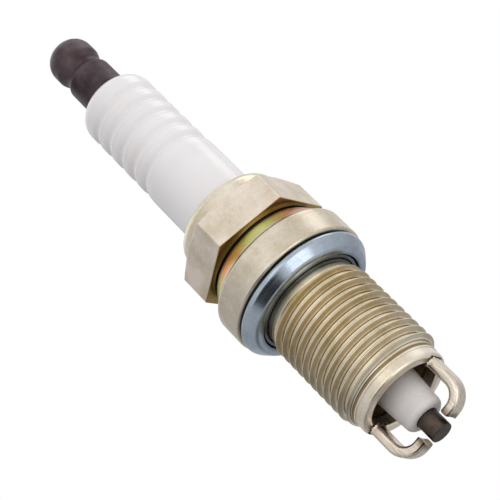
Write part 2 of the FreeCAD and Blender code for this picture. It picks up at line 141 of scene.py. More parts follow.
def add_node(
    tree: NodeTree,
    kind: str,
    inputs: Given = (),
    stops: Stops = (),
    **settings: object,
) -> Node:
    """Add a node with its settings, constants and links.

    Args:
        tree: The node tree that gets the node.
        kind: The node's type name.
        inputs: What `fill` takes.
        stops: The places from 0 to 1 and hex colours of a colour ramp.
        **settings: Properties of the node itself.

    Returns:
        The new node.
    """
    node = tree.nodes.new(kind)
    for name, setting in settings.items():
        setattr(node, name, setting)
    for number, (place, code) in enumerate(stops):
        elements = node.color_ramp.elements
        if number == len(elements):
            elements.new(1.0)
        elements[number].position = place
        elements[number].color = linear(code)
    fill(tree, node, inputs)
    return node


class Places:
    """A material's nodes, its Object coordinates, and what a turned piece reads from them."""

    def __init__(self, tree: NodeTree) -> None:
        """Add the coordinate nodes to a material.

        Args:
            tree: The material's node tree.
        """
        self.tree = tree
        self.vector = self.node("ShaderNodeTexCoord").outputs["Object"]
        self.along, self.across, self.up = self.node(SEPARATE, (self.vector,)).outputs

    def node(
        self,
        kind: str,
        inputs: Given = (),
        stops: Stops = (),
        **settings: object,
    ) -> Node:
        """Add a node to the material."""
        return add_node(self.tree, kind, inputs, stops, **settings)

    def share(self, start: float, end: float) -> Node:
        """Add a value that runs from 0 to 1 between two places along X in millimetres."""
        return self.node(RANGE, (self.along, start * MM, end * MM))

    def depth(self, inner: float, outer: float) -> Node:
        """Add a value that runs from 0 to 1 between two radii in millimetres.

        Args:
            inner: Radius where the value is 0.
            outer: Radius where the value is 1.

        Returns:
            The node that holds the value.
        """
        flat = self.node(COMBINE, {"Y": self.across, "Z": self.up})
        radius = self.node(VECTOR_MATH, (flat,), operation="LENGTH")
        return self.node(RANGE, (radius, inner * MM, outer * MM))

    def turn(self) -> Node:
        """Add a value that runs from 0 to 1 once round X, from +Y towards +Z.

        Returns:
            The node that holds the value.
        """
        angle = self.node(MATH, (self.up, self.across), operation="ARCTAN2")
        share = self.node(MATH, (angle, math.tau), operation="DIVIDE")
        return self.node(MATH, (share,), operation="FRACT")

    def stained_and_shaded(self, colour: object, share: object, stain_and_shade: str) -> Node:
        """Add a colour darkened where a share is 0 and left as it is where it is 1, for real
        stains and wear and for painted shade.

        Args:
            colour: The undarkened colour.
            share: A value from 0 to 1.
            stain_and_shade: Hex colour that multiplies the undarkened colour: a real stain, and in
                some finishes painted shade.

        Returns:
            The node that holds the darkened colour.
        """
        darkening = self.node(RAMP, (share,), ((0.0, stain_and_shade), (1.0, CLEAN)))
        return self.node(MIX, (1.0, colour, darkening), data_type="RGBA", blend_type="MULTIPLY")


# ------------------------------------------------------------------- finishes


@dataclass(frozen=True)
class Finish:
    """A finish: what a material is and how its surface was made."""

    name: str

    def build(self) -> Material:
        """Make the material with its shader and pattern.

        Returns:
            The new material.
        """
        material = bpy.data.materials.new(self.name)
        material.use_nodes = True
        tree = material.node_tree
        fill(tree, tree.nodes["Principled BSDF"], self.dress(Places(tree)))
        LOG.info("finish %s", self.name)
        return material

    def dress(self, places: Places) -> Inputs:
        """Add the pattern and give the shader's inputs. Each kind of finish has its own."""
        raise NotImplementedError


@dataclass(frozen=True)
class TurnedMetal(Finish):
    """Metal cut on a lathe: fine rings round the axis under a slow change of tone.

    `zones` are places along X in millimetres with a hex colour, so that plating can change
    tone from one machined step to the next. Real rings are about 0.05 mm apart. They are
    drawn at 0.12 mm, as fine as still shows.
    """

    zones: Stops
    roughness: float = 0.24
    roughness_spread: float = 0.14
    ring_pitch: float = 0.12
    ring_run: float = 50 / 3
    ring_depth: float = 0.0008
    cloud_size: float = 3.5
    worn: str = "E4E0D2"
    speck_size: float = 0.4
    speck_share: float = 0.4

    def dress(self, places: Places) -> Inputs:
        """Tint by zone and cloud, and cut the rings into the normal.

        Args:
            places: The material's nodes.

        Returns:
            The shader's inputs by name.
        """
        at = places.vector
        clouds = places.node(NOISE, {"Vector": at, "Scale": per(self.cloud_size), "Detail": 3.0})
        specks = places.node(NOISE, {"Vector": at, "Scale": per(self.speck_size), "Detail": 4.0})
        run = per(self.ring_run)
        lathe = places.node(
            "ShaderNodeMapping", {"Vector": at, "Scale": (per(self.ring_pitch), run, run)}
        )
        rings = places.node(NOISE, {"Vector": lathe, "Scale": 1.0})
        marks = places.node(MATH, (specks, self.speck_share, clouds), operation="MULTIPLY_ADD")
        middle = 0.5 + self.speck_share / 2
        darkening = places.node(RANGE, (marks, middle - 0.2, middle + 0.15))
        dulled = places.node(MATH, (clouds, 0.5, rings), operation="MULTIPLY_ADD")
        top = self.roughness + self.roughness_spread
        return {
            "Base Color": places.stained_and_shaded(self.tone(places), darkening, self.worn),
            "Metallic": 1.0,
            "Roughness": places.node(RANGE, (dulled, 0.5, 1.0, self.roughness, top)),
            "Normal": places.node(BUMP, {"Height": rings, "Distance": self.ring_depth * MM}),
        }

    def tone(self, places: Places) -> Node:
        """Add the colour by place along X.

        Args:
            places: The material's nodes.

        Returns:
            The node that holds the colour.
        """
        start, end = self.zones[0][0], self.zones[-1][0]
        stops = [((x - start) / (end - start), code) for x, code in self.zones]
        return places.node(RAMP, (places.share(start, end),), stops)


@dataclass(frozen=True)
class HeatTintedPlate(TurnedMetal):
    """Nickel plate with the rainbow band left where the shell was locked on by heat.

    `tints` are shares of one turn round X with a hex colour, seen where the band is.
    """

    tints: Stops = ()
    band_start: float = -6.2
    band_middle: float = -5.3
    band_end: float = -4.15
    band_metallic: float = 0.45

    def dress(self, places: Places) -> Inputs:
        """Plate the shell, and cloud the metal where the oxide film lies."""
        metal = places.node(RANGE, (self.film(places), 0.0, 1.0, 1.0, self.band_metallic))
        return super().dress(places) | {"Metallic": metal}

    def film(self, places: Places) -> Node:
        """Add how thick the oxide film is, from 0 to 1.

        Args:
            places: The material's nodes.

        Returns:
            The node that holds the thickness.
        """
        rise = places.share(self.band_start, self.band_middle)
        fall = places.share(self.band_end, self.band_middle)
        both = places.node(MATH, (rise, fall), operation="MULTIPLY")
        return places.node(MATH, (both,), operation="SQRT")

    def tone(self, places: Places) -> Node:
        """Lay the tint band over the plain zones.

        Args:
            places: The material's nodes.

        Returns:
            The node that holds the colour.
        """
        plain = super().tone(places)
        tints = places.node(RAMP, (places.turn(),), self.tints)
        return places.node(MIX, (self.film(places), plain, tints), data_type="RGBA")


@dataclass(frozen=True)
class ThreadMetal(TurnedMetal):
    """Rolled thread, coloured by depth: painted shade in the groove, painted light at the flank's
    foot and a painted highlight on the crests.
    """

    root_radius: float = 6.2
    crest_radius: float = 6.95
    # Painted shade in the groove, painted light at the foot, the flank's own colour, and a painted
    # highlight on the crest.
    groove: str = "968260"
    foot: str = "FFFCF6"
    flank: str = "D2C8B2"
    crest: str = "F6F0E2"

    def tone(self, places: Places) -> Node:
        """Add the painted shade, light and highlight by depth in the groove, over the zones along
        X.

        Args:
            places: The material's nodes.

        Returns:
            The node that holds the colour.
        """
        stops = (
            (0.0, self.groove),
            (0.1, self.groove),
            (0.22, self.foot),
            (0.5, self.flank),
            (0.96, self.flank),
            (1.0, self.crest),
        )
        groove_shade_and_crest_highlight = places.node(RAMP, (places.depth(self.root_radius, self.crest_radius),), stops)
        zones = super().tone(places)
        return places.node(MIX, (1.0, groove_shade_and_crest_highlight, zones), data_type="RGBA", blend_type="MULTIPLY")


@dataclass(frozen=True)
class FoldedSheet(TurnedMetal):
    """Zinc-plated sheet folded into a ring, with painted shade darkening the inner leaf towards
    the ring's inner edge.
    """

    leaf_shade_inner: float = 7.1
    leaf_shade_outer: float = 7.7
    # Colour of the painted shade towards the inner edge.
    dull: str = "8A9098"

    def tone(self, places: Places) -> Node:
        """Darken the colour towards the ring's inner edge with painted shade."""
        depth = places.depth(self.leaf_shade_inner, self.leaf_shade_outer)
        return places.stained_and_shaded(super().tone(places), depth, self.dull)


@dataclass(frozen=True)
class RolledStrip(Finish):
    """Nickel alloy strip: drawn streaks along it, darker in mottled patches towards the axis,
    where it bends in over the centre electrode.
    """

    bright: str = "E6DACB"
    dull: str = "C4B7A6"
    # Colour that the strip darkens to towards the axis.
    inward_dark: str = "8A7C6C"
    roughness: float = 0.17
    roughness_spread: float = 0.15
    streak_size: float = 0.25
    streak_stretch: float = 0.15
    streak_depth: float = 0.0015
    cloud_size: float = 1.2
    darkest_radius: float = 2.4
    undarkened_radius: float = 3.3

    def dress(self, places: Places) -> Inputs:
        """Lay streaks along the strip and darken its inner side.

        Args:
            places: The material's nodes.

        Returns:
            The shader's inputs by name.
        """
        at = places.vector
        drawn = places.node(
            "ShaderNodeMapping", {"Vector": at, "Scale": (self.streak_stretch, 1.0, 1.0)}
        )
        streaks = places.node(
            NOISE, {"Vector": drawn, "Scale": per(self.streak_size), "Detail": 3.0}
        )
        clouds = places.node(NOISE, {"Vector": at, "Scale": per(self.cloud_size), "Detail": 3.0})
        stops = ((0.3, self.dull), (0.6, self.bright), (1.0, self.bright))
        metal = places.node(RAMP, (streaks,), stops)
        # The colour darkens in mottled patches from the undarkened radius in to the darkest
        # radius.
        depth = places.depth(self.darkest_radius, self.undarkened_radius)
        mottled = places.node(MATH, (clouds, 0.8, depth), operation="MULTIPLY_ADD")
        undarkened = places.node(RANGE, (mottled, 0.3, 1.1))
        top = self.roughness + self.roughness_spread
        return {
            "Base Color": places.stained_and_shaded(metal, undarkened, self.inward_dark),
            "Metallic": 1.0,
            "Roughness": places.node(RANGE, (clouds, 0.3, 0.7, self.roughness, top)),
            "Normal": places.node(BUMP, {"Height": streaks, "Distance": self.streak_depth * MM}),
        }


@dataclass(frozen=True)
class GlazedAlumina(Finish):
    """White alumina: a clear glaze down to the shell, then bare sintered nose."""

    glaze: str = "E9E7E9"
    warm: str = "E7E2E2"
    bare: str = "DCD7D5"
    pitted: str = "CFC9C6"
    # Painted shade that darkens the nose towards its root inside the shell.
    root_shade: str = "A89E96"
    glaze_end: float = 4.0
    bare_start: float = 6.0
    root_shade_start: float = 20.5
    root_shade_full: float = 15.0
    cloud_size: float = 6.0
    wave_size: float = 2.2
    grain_size: float = 0.12
    relief: float = 0.008
    glaze_roughness: float = 0.12
    bare_roughness: float = 0.6

    def dress(self, places: Places) -> Inputs:
        """Gloss the glazed part and leave the nose matt and grainy.

        Args:
            places: The material's nodes.

        Returns:
            The shader's inputs by name.
        """
        at = places.vector
        bareness = places.share(self.glaze_end, self.bare_start)
        clouds = places.node(NOISE, {"Vector": at, "Scale": per(self.cloud_size), "Detail": 3.0})
        glaze = places.node(RAMP, (clouds,), ((0.35, self.glaze), (0.7, self.warm)))
        grain = places.node(NOISE, {"Vector": at, "Scale": per(self.grain_size), "Detail": 5.0})
        nose = places.node(RAMP, (grain,), ((0.3, self.pitted), (0.6, self.bare)))
        # Painted shade: the nose darkens towards its root in the shell's mouth.
        nose = places.stained_and_shaded(nose, places.share(self.root_shade_full, self.root_shade_start), self.root_shade)
        wave = places.node(NOISE, {"Vector": at, "Scale": per(self.wave_size), "Detail": 3.0})
        height = places.node(MIX, (bareness, wave, grain), data_type="RGBA")
        rough = (bareness, 0.0, 1.0, self.glaze_roughness, self.bare_roughness)
        return {
            "Base Color": places.node(MIX, (bareness, glaze, nose), data_type="RGBA"),
            "Roughness": places.node(RANGE, rough),
            "IOR": 1.6,
            "Subsurface Weight": 0.12,
            "Subsurface Radius": (1.0, 0.9, 0.85),
            "Subsurface Scale": 0.8 * MM,
            "Normal": places.node(BUMP, {"Height": height, "Distance": self.relief * MM}),
        }


@dataclass(frozen=True)
class PressedPowder(Finish):
    """Pressed or sintered powder: matt, with a fine grain and small pits."""

    light: str
    dark: str
    grain_size: float = 0.2
    pit_depth: float = 0.03

    def dress(self, places: Places) -> Inputs:
        """Speckle the colour and pit the surface at the grain's size.

        Args:
            places: The material's nodes.

        Returns:
            The shader's inputs by name.
        """
        grain = places.node(
            NOISE, {"Vector": places.vector, "Scale": per(self.grain_size), "Detail": 5.0}
        )
        return {
            "Base Color": places.node(RAMP, (grain,), ((0.35, self.dark), (0.65, self.light))),
            "Roughness": 0.85,
            "Normal": places.node(BUMP, {"Height": grain, "Distance": self.pit_depth * MM}),
        }


@dataclass(frozen=True)
class SealGlass(Finish):
    """Glass fused with metal powder: dark, glossy, with bright grains in it."""

    glass: str = "34302C"
    grain: str = "8E867C"
    grain_size: float = 0.3

    def dress(self, places: Places) -> Inputs:
        """Scatter grains through the dark glass.

        Args:
            places: The material's nodes.

        Returns:
            The shader's inputs by name.
        """
        grains = places.node(
            "ShaderNodeTexVoronoi", {"Vector": places.vector, "Scale": per(self.grain_size)}
        )
        return {
            "Base Color": places.node(RAMP, (grains,), ((0.12, self.grain), (0.3, self.glass))),
            "Roughness": places.node(RANGE, (grains, 0.1, 0.5, 0.45, 0.18)),
            "IOR": 1.52,
        }


@dataclass(frozen=True)
class LitBoard(Finish):
    """White board lit until it shows no shade. It is clear when seen from below."""

    def dress(self, places: Places) -> Inputs:
        """Glow on the upper side only.

        Args:
            places: The material's nodes.

        Returns:
            The shader's inputs by name.
        """
        below = places.node("ShaderNodeNewGeometry").outputs["Backfacing"]
        return {
            "Base Color": linear("000000"),
            "Specular IOR Level": 0.0,
            "Emission Color": linear(CLEAN),
            "Emission Strength": 1.0,
            "Alpha": places.node(MATH, (1.0, below), operation="SUBTRACT"),
        }


# Nickel plate: a warm shine, clouded where oil dried on it, tinted where heat reached it.
SHELL_PLATE = HeatTintedPlate(
    "nickel_plated_steel_turned",
    zones=(
        (-14.6, "F0E7D8"),
        (-12.2, "ECE2D2"),
        (-11.5, "EADED2"),
        (-7.06, "E8DCCE"),
        # Under the hexagon the plate turns gold-brown and darkens to near black in the lock-band
        # groove: painted shade in the corner and the groove.
        (-7.0, "B49A5C"),
        (-6.7, "8E7440"),
        (-6.6, "2A2420"),
        (-6.32, "2E2A2A"),
        (-6.28, "9A90A6"),
        (-6.05, "A6A0A0"),
        (-5.6, "CFC6B0"),
        (-4.2, "E0D6C7"),
        (0.0, "DED4C5"),
        (0.1, "E0D4BC"),
        (3.0, "E8DCC4"),
        (16.9, "E8DCC4"),
        # A dark brown ring in the run-out groove before the pilot: painted shade.
        (17.1, "8E7C5E"),
        (17.3, "8E7C5E"),
        (17.4, "F0E6D6"),
        (19.0, "F4EADC"),
    ),
    tints=(
        (0.0, "D8A890"),
        (0.18, "E08878"),
        (0.225, "E8A860"),
        (0.26, "C8CC68"),
        (0.33, "CCCE60"),
        (0.37, "E8B038"),
        (0.42, "E88E4A"),
        (0.46, "C8CC60"),
        (0.6, "D8B850"),
        (0.8, "D8A890"),
        (1.0, "D8A890"),
    ),
)
# Steel in the mouth: dull, and painted dark for the shade inside the bore, a little lighter at the
# mouth's end.
BORE_SHADED_STEEL = TurnedMetal(
    "steel_bore_painted_shade",
    zones=((-14.0, "4A423A"), (10.0, "3A322B"), (19.0, "5C5248")),
    roughness=0.5,
)
# The same plate on the rolled thread: finer rings, with painted shade in the groove and a painted
# highlight on the crests.
THREAD_PLATE = ThreadMetal(
    "nickel_plated_steel_rolled_thread",
    zones=((2.0, "F4E8D0"), (6.0, "FAF2E2"), (14.0, "FFFBF4"), (18.0, CLEAN)),
    roughness=0.26,
    ring_depth=0.0005,
)
# Blackened steel: a brown-grey oxide, half matt, in soft patches.
NUT_STEEL = TurnedMetal(
    "steel_blackened_turned",
    # Painted light: the tone lightens towards the top of the dome.
    zones=((-50.8, "7E7276"), (-48.5, "64575A"), (-45.5, "5C5053"), (-39.5, "564C4F")),
    roughness=0.32,
    roughness_spread=0.2,
    cloud_size=2.6,
    worn="A69CA2",
    speck_share=0.15,
)
# Bare steel of the stud: a neutral grey shine.
STUD_STEEL = TurnedMetal(
    "steel_turned_bright",
    zones=((-47.7, "A9A6A2"), (-12.0, "9C9996")),
    roughness=0.3,
)
# The stud's cut thread: painted shade darkens the grooves, with a painted highlight on the crests.
STUD_THREAD = ThreadMetal(
    "steel_cut_thread",
    zones=((-47.7, CLEAN), (-40.0, "F4F2EE")),
    root_radius=1.55,
    crest_radius=1.98,
    groove="6A6662",
    foot="98958F",
    flank="A19E9A",
    crest="D8D6D2",
)
# Zinc on pressed sheet: a cold blue shine, smoother than the turned plate.
GASKET_ZINC = FoldedSheet(
    "steel_sheet_zinc_passivated",
    zones=((0.1, "BAC4CE"), (1.2, "B6C1CC"), (2.3, "B0BCC8")),
    roughness=0.16,
    roughness_spread=0.1,
    worn="DCE0E4",
)
# Nickel alloy darkened by firing: brown-grey, with a duller end face.
SHEATH_NICKEL = TurnedMetal(
    "nickel_alloy_dark",
    zones=((1.0, "60544E"), (22.0, "524742"), (25.2, "62564F"), (25.35, "504E48")),
    roughness=0.38,
    cloud_size=1.2,
    worn="D6CEC8",
    speck_size=0.15,
)
# Drawn nickel alloy: a pinkish bright shine in long streaks.
STRIP_NICKEL = RolledStrip("nickel_alloy_drawn_strip")
# Weld scale: dark and rough.
WELD_METAL = TurnedMetal(
    "weld_metal_scaled",
    zones=((18.0, "4A4038"), (20.0, "574C42")),
    roughness=0.5,
    cloud_size=0.5,
    worn="AA9E90",
)
# Soft washer steel: plain grey, half matt.
WASHER_STEEL = TurnedMetal(
    "steel_soft_washer", zones=((-14.0, "A6A5A2"), (8.0, "9A9998")), roughness=0.42
)
# Drawn copper: a red-brown shine.
CORE_COPPER = TurnedMetal("copper_drawn", zones=((1.0, "C9794E"), (21.0, "B86C44")), roughness=0.3)
# Alumina: cool white under a glaze, matt and greyer on the bare nose.
ALUMINA = GlazedAlumina("alumina_glazed_and_bare")
# Pressed talc: chalky off-white.
TALC = PressedPowder("talc_pressed", light="E2DFD6", dark="C4BFB2")
# Carbon-loaded ceramic: matt black with a fine grain.
RESISTOR = PressedPowder("resistor_carbon_ceramic", light="3A3734", dark="1F1D1C", grain_size=0.12)
# Seal glass: black gloss with metal grains.
GLASS = SealGlass("glass_seal_metal_filled")
# Studio board: plain white, lit.
FLOOR = LitBoard("floor_white_board_lit")


# ---------------------------------------------------------------- mesh helpers


def eased(corners: Sequence[Corner], ring: bool, steps: int = ARC_STEPS) -> list[Row]:
    """Round the corners of a half section with short arcs.

    Args:
        corners: Place along X, radius and rounding of each corner.
        ring: Whether the last corner joins the first. Otherwise both ends lie on the axis.
        steps: Segments in each arc.

    Returns:
        Points of the outline, with a point close to each arc on its flats to keep them flat.
    """
    points = [Vector(corner[:2]) for corner in corners]
    count = len(points)
    roomy = 2.2 * SUPPORT
    wanted = []
    for index, (here, corner) in enumerate(zip(points, corners)):
        if corner[2] == 0 or (not ring and index in (0, count - 1)):
            wanted.append(0.0)
            continue
        half = (points[index - 1] - here).angle(points[(index + 1) % count] - here) / 2
        wanted.append(corner[2] / math.tan(half))
    rows: list[Row] = []
    for index, here in enumerate(points):
        if wanted[index] == 0:
            rows.append(tuple(here))
            continue
        back = points[index - 1] - here
        ahead = points[(index + 1) % count] - here
        half = back.angle(ahead) / 2
        before = back.length - wanted[index - 1]
        after = ahead.length - wanted[(index + 1) % count]
        cut = min(wanted[index], max(before, back.length / 2), max(after, ahead.length / 2))
        back.normalize()
        ahead.normalize()
        centre = here + (back + ahead).normalized() * (cut / math.cos(half))
        start, end = here + back * cut, here + ahead * cut
        if before - cut > roomy:
            rows.append(tuple(start + back * SUPPORT))
        for step in range(steps + 1):
            spoke = (start - centre).slerp(end - centre, step / steps).normalized()
            rows.append(tuple(centre + spoke * (start - centre).length))
        if after - cut > roomy:
            rows.append(tuple(end + ahead * SUPPORT))
    return rows


def round_columns() -> list[float]:
    """Give evenly spaced angles about X in degrees."""
    return [360 * index / ROUND_COLUMNS for index in range(ROUND_COLUMNS)]


def join_loops(mesh: BMesh, lower: list[BMVert], upper: list[BMVert]) -> None:
    """Join two closed loops with faces. A loop of one vertex is a pole.

    Args:
        mesh: The mesh that holds both loops.
        lower: The first loop.
        upper: The loop after it.
    """
    count = max(len(lower), len(upper))
    for index in range(count):
        after = (index + 1) % count
        corners = [
            lower[index % len(lower)],
            lower[after % len(lower)],
            upper[after % len(upper)],
            upper[index % len(upper)],
        ]
        mesh.faces.new(list(dict.fromkeys(corners)))


def turned_mesh(rows: Sequence[Row], columns: Sequence[float], ring: bool) -> BMesh:
    """Turn an outline about X.

    Args:
        rows: Points of the outline, or functions of the angle that give one.
        columns: Angles about X in degrees, in rising order.
        ring: Whether the last row joins the first. Otherwise both ends are poles.

    Returns:
        A closed mesh whose faces point outwards where X rises along the outer side.
    """
    mesh = bmesh.new()
    loops = []
    for row in rows:
        if not callable(row) and row[1] == 0:
            loops.append([mesh.verts.new((row[0] * MM, 0.0, 0.0))])
            continue
        loop = []
        for column in columns:
            x, radius = row(column) if callable(row) else row
            angle = math.radians(column)
            place = (x, radius * math.cos(angle), radius * math.sin(angle))
            loop.append(mesh.verts.new(Vector(place) * MM))
        loops.append(loop)
    pairs = list(zip(loops, loops[1:])) + ([(loops[-1], loops[0])] if ring else [])
    for lower, upper in pairs:
        join_loops(mesh, lower, upper)
    return mesh


def add_object(name: str, data: object) -> Object:
    """Put new data in the scene as an object.

    Args:
        name: Name of the object.
        data: Its mesh, light or camera.

    Returns:
        The new object, at the origin.
    """
    thing = bpy.data.objects.new(name, data)
    bpy.context.collection.objects.link(thing)
    return thing


def finished_mesh(name: str, mesh: BMesh) -> Mesh:
    """Turn a bmesh into plain mesh data and free it.

    Args:
        name: Name of the mesh.
        mesh: What it is made from.

    Returns:
        The plain mesh.
    """
    data = bpy.data.meshes.new(name)
    mesh.to_mesh(data)
    mesh.free()
    return data


def place_piece(name: str, data: Mesh, *finishes: Material) -> Object:
    """Put a finished mesh in the scene, smooth except at its sharp edges.

    Args:
        name: Name of the piece.
        data: Its mesh.
        *finishes: Its materials in order.

    Returns:
        The new piece.
    """
    data.shade_smooth()
    data.set_sharp_from_angle(angle=SHARP_ANGLE)
    data.materials.clear()
    for finish in finishes:
        data.materials.append(finish)
    return add_object(name, data)


def make_piece(name: str, mesh: BMesh, *finishes: Material) -> Object:
    """Turn a bmesh into a smooth-shaded piece at the origin with its finishes."""
    return place_piece(name, finished_mesh(name, mesh), *finishes)


def declare(piece: Object, body: Body, replaces: Sequence[str] = ()) -> None:
    """Say which body a piece rides on, and the CAD nodes it stands for.

    Args:
        piece: The piece.
        body: The body that carries it.
        replaces: Names of the CAD nodes that it hides.
    """
    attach(piece, body.value)
    if replaces:
        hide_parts(*replaces)
    LOG.info("piece %s on %s: %d faces", piece.name, body.value, len(piece.data.polygons))


def turned_piece(
    name: str,
    corners: Sequence[Corner],
    finish: Material,
    ring: bool = True,
    steps: int = ARC_STEPS,
) -> Object:
    """Make a round piece from the corners of its half section."""
    rows = eased(corners, ring, steps)
    return make_piece(name, turned_mesh(rows, round_columns(), ring), finish)


# -------------------------------------------------------------- geometry nodes


class GeometryTree:
    """A Geometry Nodes tree with named inputs, and the mesh that it makes."""

    def __init__(self, name: str, material: Material, sizes: dict[str, object]) -> None:
        """Start a tree.

        Args:
            name: Name of the tree and of the piece that it makes.
            material: The finish that the tree sets.
            sizes: The named inputs. A whole number makes an integer input.
        """
        self.name = name
        self.material = material
        self.tree = bpy.data.node_groups.new(name, "GeometryNodeTree")
        self.values: dict[str, object] = {}
        self.socket("Geometry", "Geometry")
        self.socket("Geometry", "Geometry", "OUTPUT")
        self.values[self.socket("Material", "Material")] = material
        for size, value in sizes.items():
            kind = "Int" if isinstance(value, int) else "Float"
            self.values[self.socket(size, kind)] = value
        self.given = self.tree.nodes.new("NodeGroupInput")

    def socket(self, name: str, kind: str, way: str = "INPUT") -> str:
        """Add an input or output and return its identifier."""
        kind = "NodeSocket" + kind
        return self.tree.interface.new_socket(name, in_out=way, socket_type=kind).identifier

    def node(self, kind: str, inputs: Given = (), **settings: object) -> Node:
        """Add a node to the tree. Text among its inputs is the name of one of the tree's own.

        Args:
            kind: The node's type name.
            inputs: What `fill` takes, and names of the tree's inputs.
            **settings: Properties of the node itself.

        Returns:
            The new node.
        """
        named = dict(inputs if isinstance(inputs, dict) else enumerate(inputs))
        for key, given in named.items():
            if isinstance(given, str):
                named[key] = self.given.outputs[given]
        return add_node(self.tree, kind, named, **settings)

    def grow(self, geometry: object, start: Mesh) -> Object:
        """End the tree, run it on a mesh and keep the result as a plain piece.

        Args:
            geometry: The node that holds the finished shape.
            start: The mesh given to the tree.

        Returns:
            The finished piece, with no modifier left on it.
        """
        real = self.node("GeometryNodeRealizeInstances", (geometry,))
        dressed = self.node("GeometryNodeSetMaterial", {"Geometry": real, "Material": "Material"})
        self.node("NodeGroupOutput", (dressed,))
        holder = add_object(self.name + "_start", start)
        modifier = holder.modifiers.new("grow", "NODES")
        modifier.node_group = self.tree
        for identifier, value in self.values.items():
            modifier[identifier] = value
        graph = bpy.context.evaluated_depsgraph_get()
        data = bpy.data.meshes.new_from_object(holder.evaluated_get(graph))
        holder.modifiers.remove(modifier)
        bpy.data.objects.remove(holder)
        data.name = self.name
        return place_piece(self.name, data, self.material)


@dataclass
class Thread:
    """A right-handed screw thread: a ridge wound on a core about X."""

    name: str
    root_radius: float
    crest_radius: float
    pitch: float
    start: float
    end: float
    fade_in: float
    fade_out: float
    crest_share: float = 0.06
    base_share: float = 0.86
    sink: float = 0.1
    resolution: int = 96

    def build(self, material: Material) -> Object:
        """Wind the ridge with Geometry Nodes.

        Args:
            material: The thread's finish.

        Returns:
            The ridge as a closed mesh whose ends fade into the core.
        """
        core = self.root_radius - self.sink
        length = self.end - self.start
        sizes = {
            "Turns": length / self.pitch,
            "Core Radius": core * MM,
            "Length": length * MM,
            "Start": self.start * MM,
            "Height": (self.crest_radius - core) * MM,
            "Half Base": self.base_share * self.pitch / 2 * MM,
            "Half Crest": self.crest_share * self.pitch / 2 * MM,
            "Fade In": self.fade_in / length,
            "Fade Out": self.fade_out / length,
        }
        tree = GeometryTree(self.name, material, sizes)
        spiral = tree.node(
            "GeometryNodeCurveSpiral",
            {
                "Resolution": self.resolution,
                "Rotations": "Turns",
                "Start Radius": "Core Radius",
                "End Radius": "Core Radius",
                "Height": "Length",
                "Reverse": True,
            },
        )
        faded = tree.node(
            "GeometryNodeSetPosition", {"Geometry": spiral, "Offset": self.buried(tree)}
        )
        upright = tree.node("GeometryNodeSetCurveNormal", {"Curve": faded}, mode="Z_UP")
        ridge = tree.node(
            "GeometryNodeCurveToMesh",
            {"Curve": upright, "Profile Curve": self.section(tree), "Fill Caps": True},
        )
        laid = tree.node(
            "GeometryNodeTransform",
            {
                "Geometry": ridge,
                "Translation": tree.node(COMBINE, ("Start",)),
                "Rotation": (0.0, math.pi / 2, 0.0),
            },
        )
        return tree.grow(laid, bpy.data.meshes.new(self.name + "_seed"))

    def buried(self, tree: GeometryTree) -> Node:
        """Add the offset that sinks both ends of the ridge into the core.

        Args:
            tree: The thread's tree.

        Returns:
            The node that holds the offset.
        """
        share = tree.node("GeometryNodeSplineParameter").outputs["Factor"]
        rest = tree.node(MATH, (1.0, share), operation="SUBTRACT")
        risen = tree.node(MATH, (share, "Fade In"), operation="DIVIDE")
        fallen = tree.node(MATH, (rest, "Fade Out"), operation="DIVIDE")
        shown = tree.node(MATH, (risen, fallen), operation="MINIMUM")
        sunk = tree.node(MATH, (shown, 1.0), operation="SUBTRACT")
        held = tree.node(MATH, (sunk, 0.0), operation="MINIMUM")
        amount = tree.node(MATH, (held, "Height"), operation="MULTIPLY")
        place = tree.node("GeometryNodeInputPosition")
        flat = tree.node(VECTOR_MATH, (place, (1.0, 1.0, 0.0)), operation="MULTIPLY")
        outward = tree.node(VECTOR_MATH, (flat,), operation="NORMALIZE")
        return tree.node(VECTOR_MATH, (outward, amount), operation="SCALE")

    def section(self, tree: GeometryTree) -> Node:
        """Add the ridge's section: wide at the core, narrow at the crest.

        Args:
            tree: The thread's tree.

        Returns:
            The node that holds the closed curve.
        """
        corners = {}
        base, crest = "Half Base", "Half Crest"
        sides = ((base, -1.0), (crest, -1.0), (crest, 1.0), (base, 1.0))
        for number, (width, side) in enumerate(sides, start=1):
            across = tree.node(MATH, (width, side), operation="MULTIPLY")
            rise = "Height" if width == crest else 0.0
            corners[f"Point {number}"] = tree.node(COMBINE, {"X": rise, "Y": across})
        return tree.node("GeometryNodeCurvePrimitiveQuadrilateral", corners, mode="POINTS")


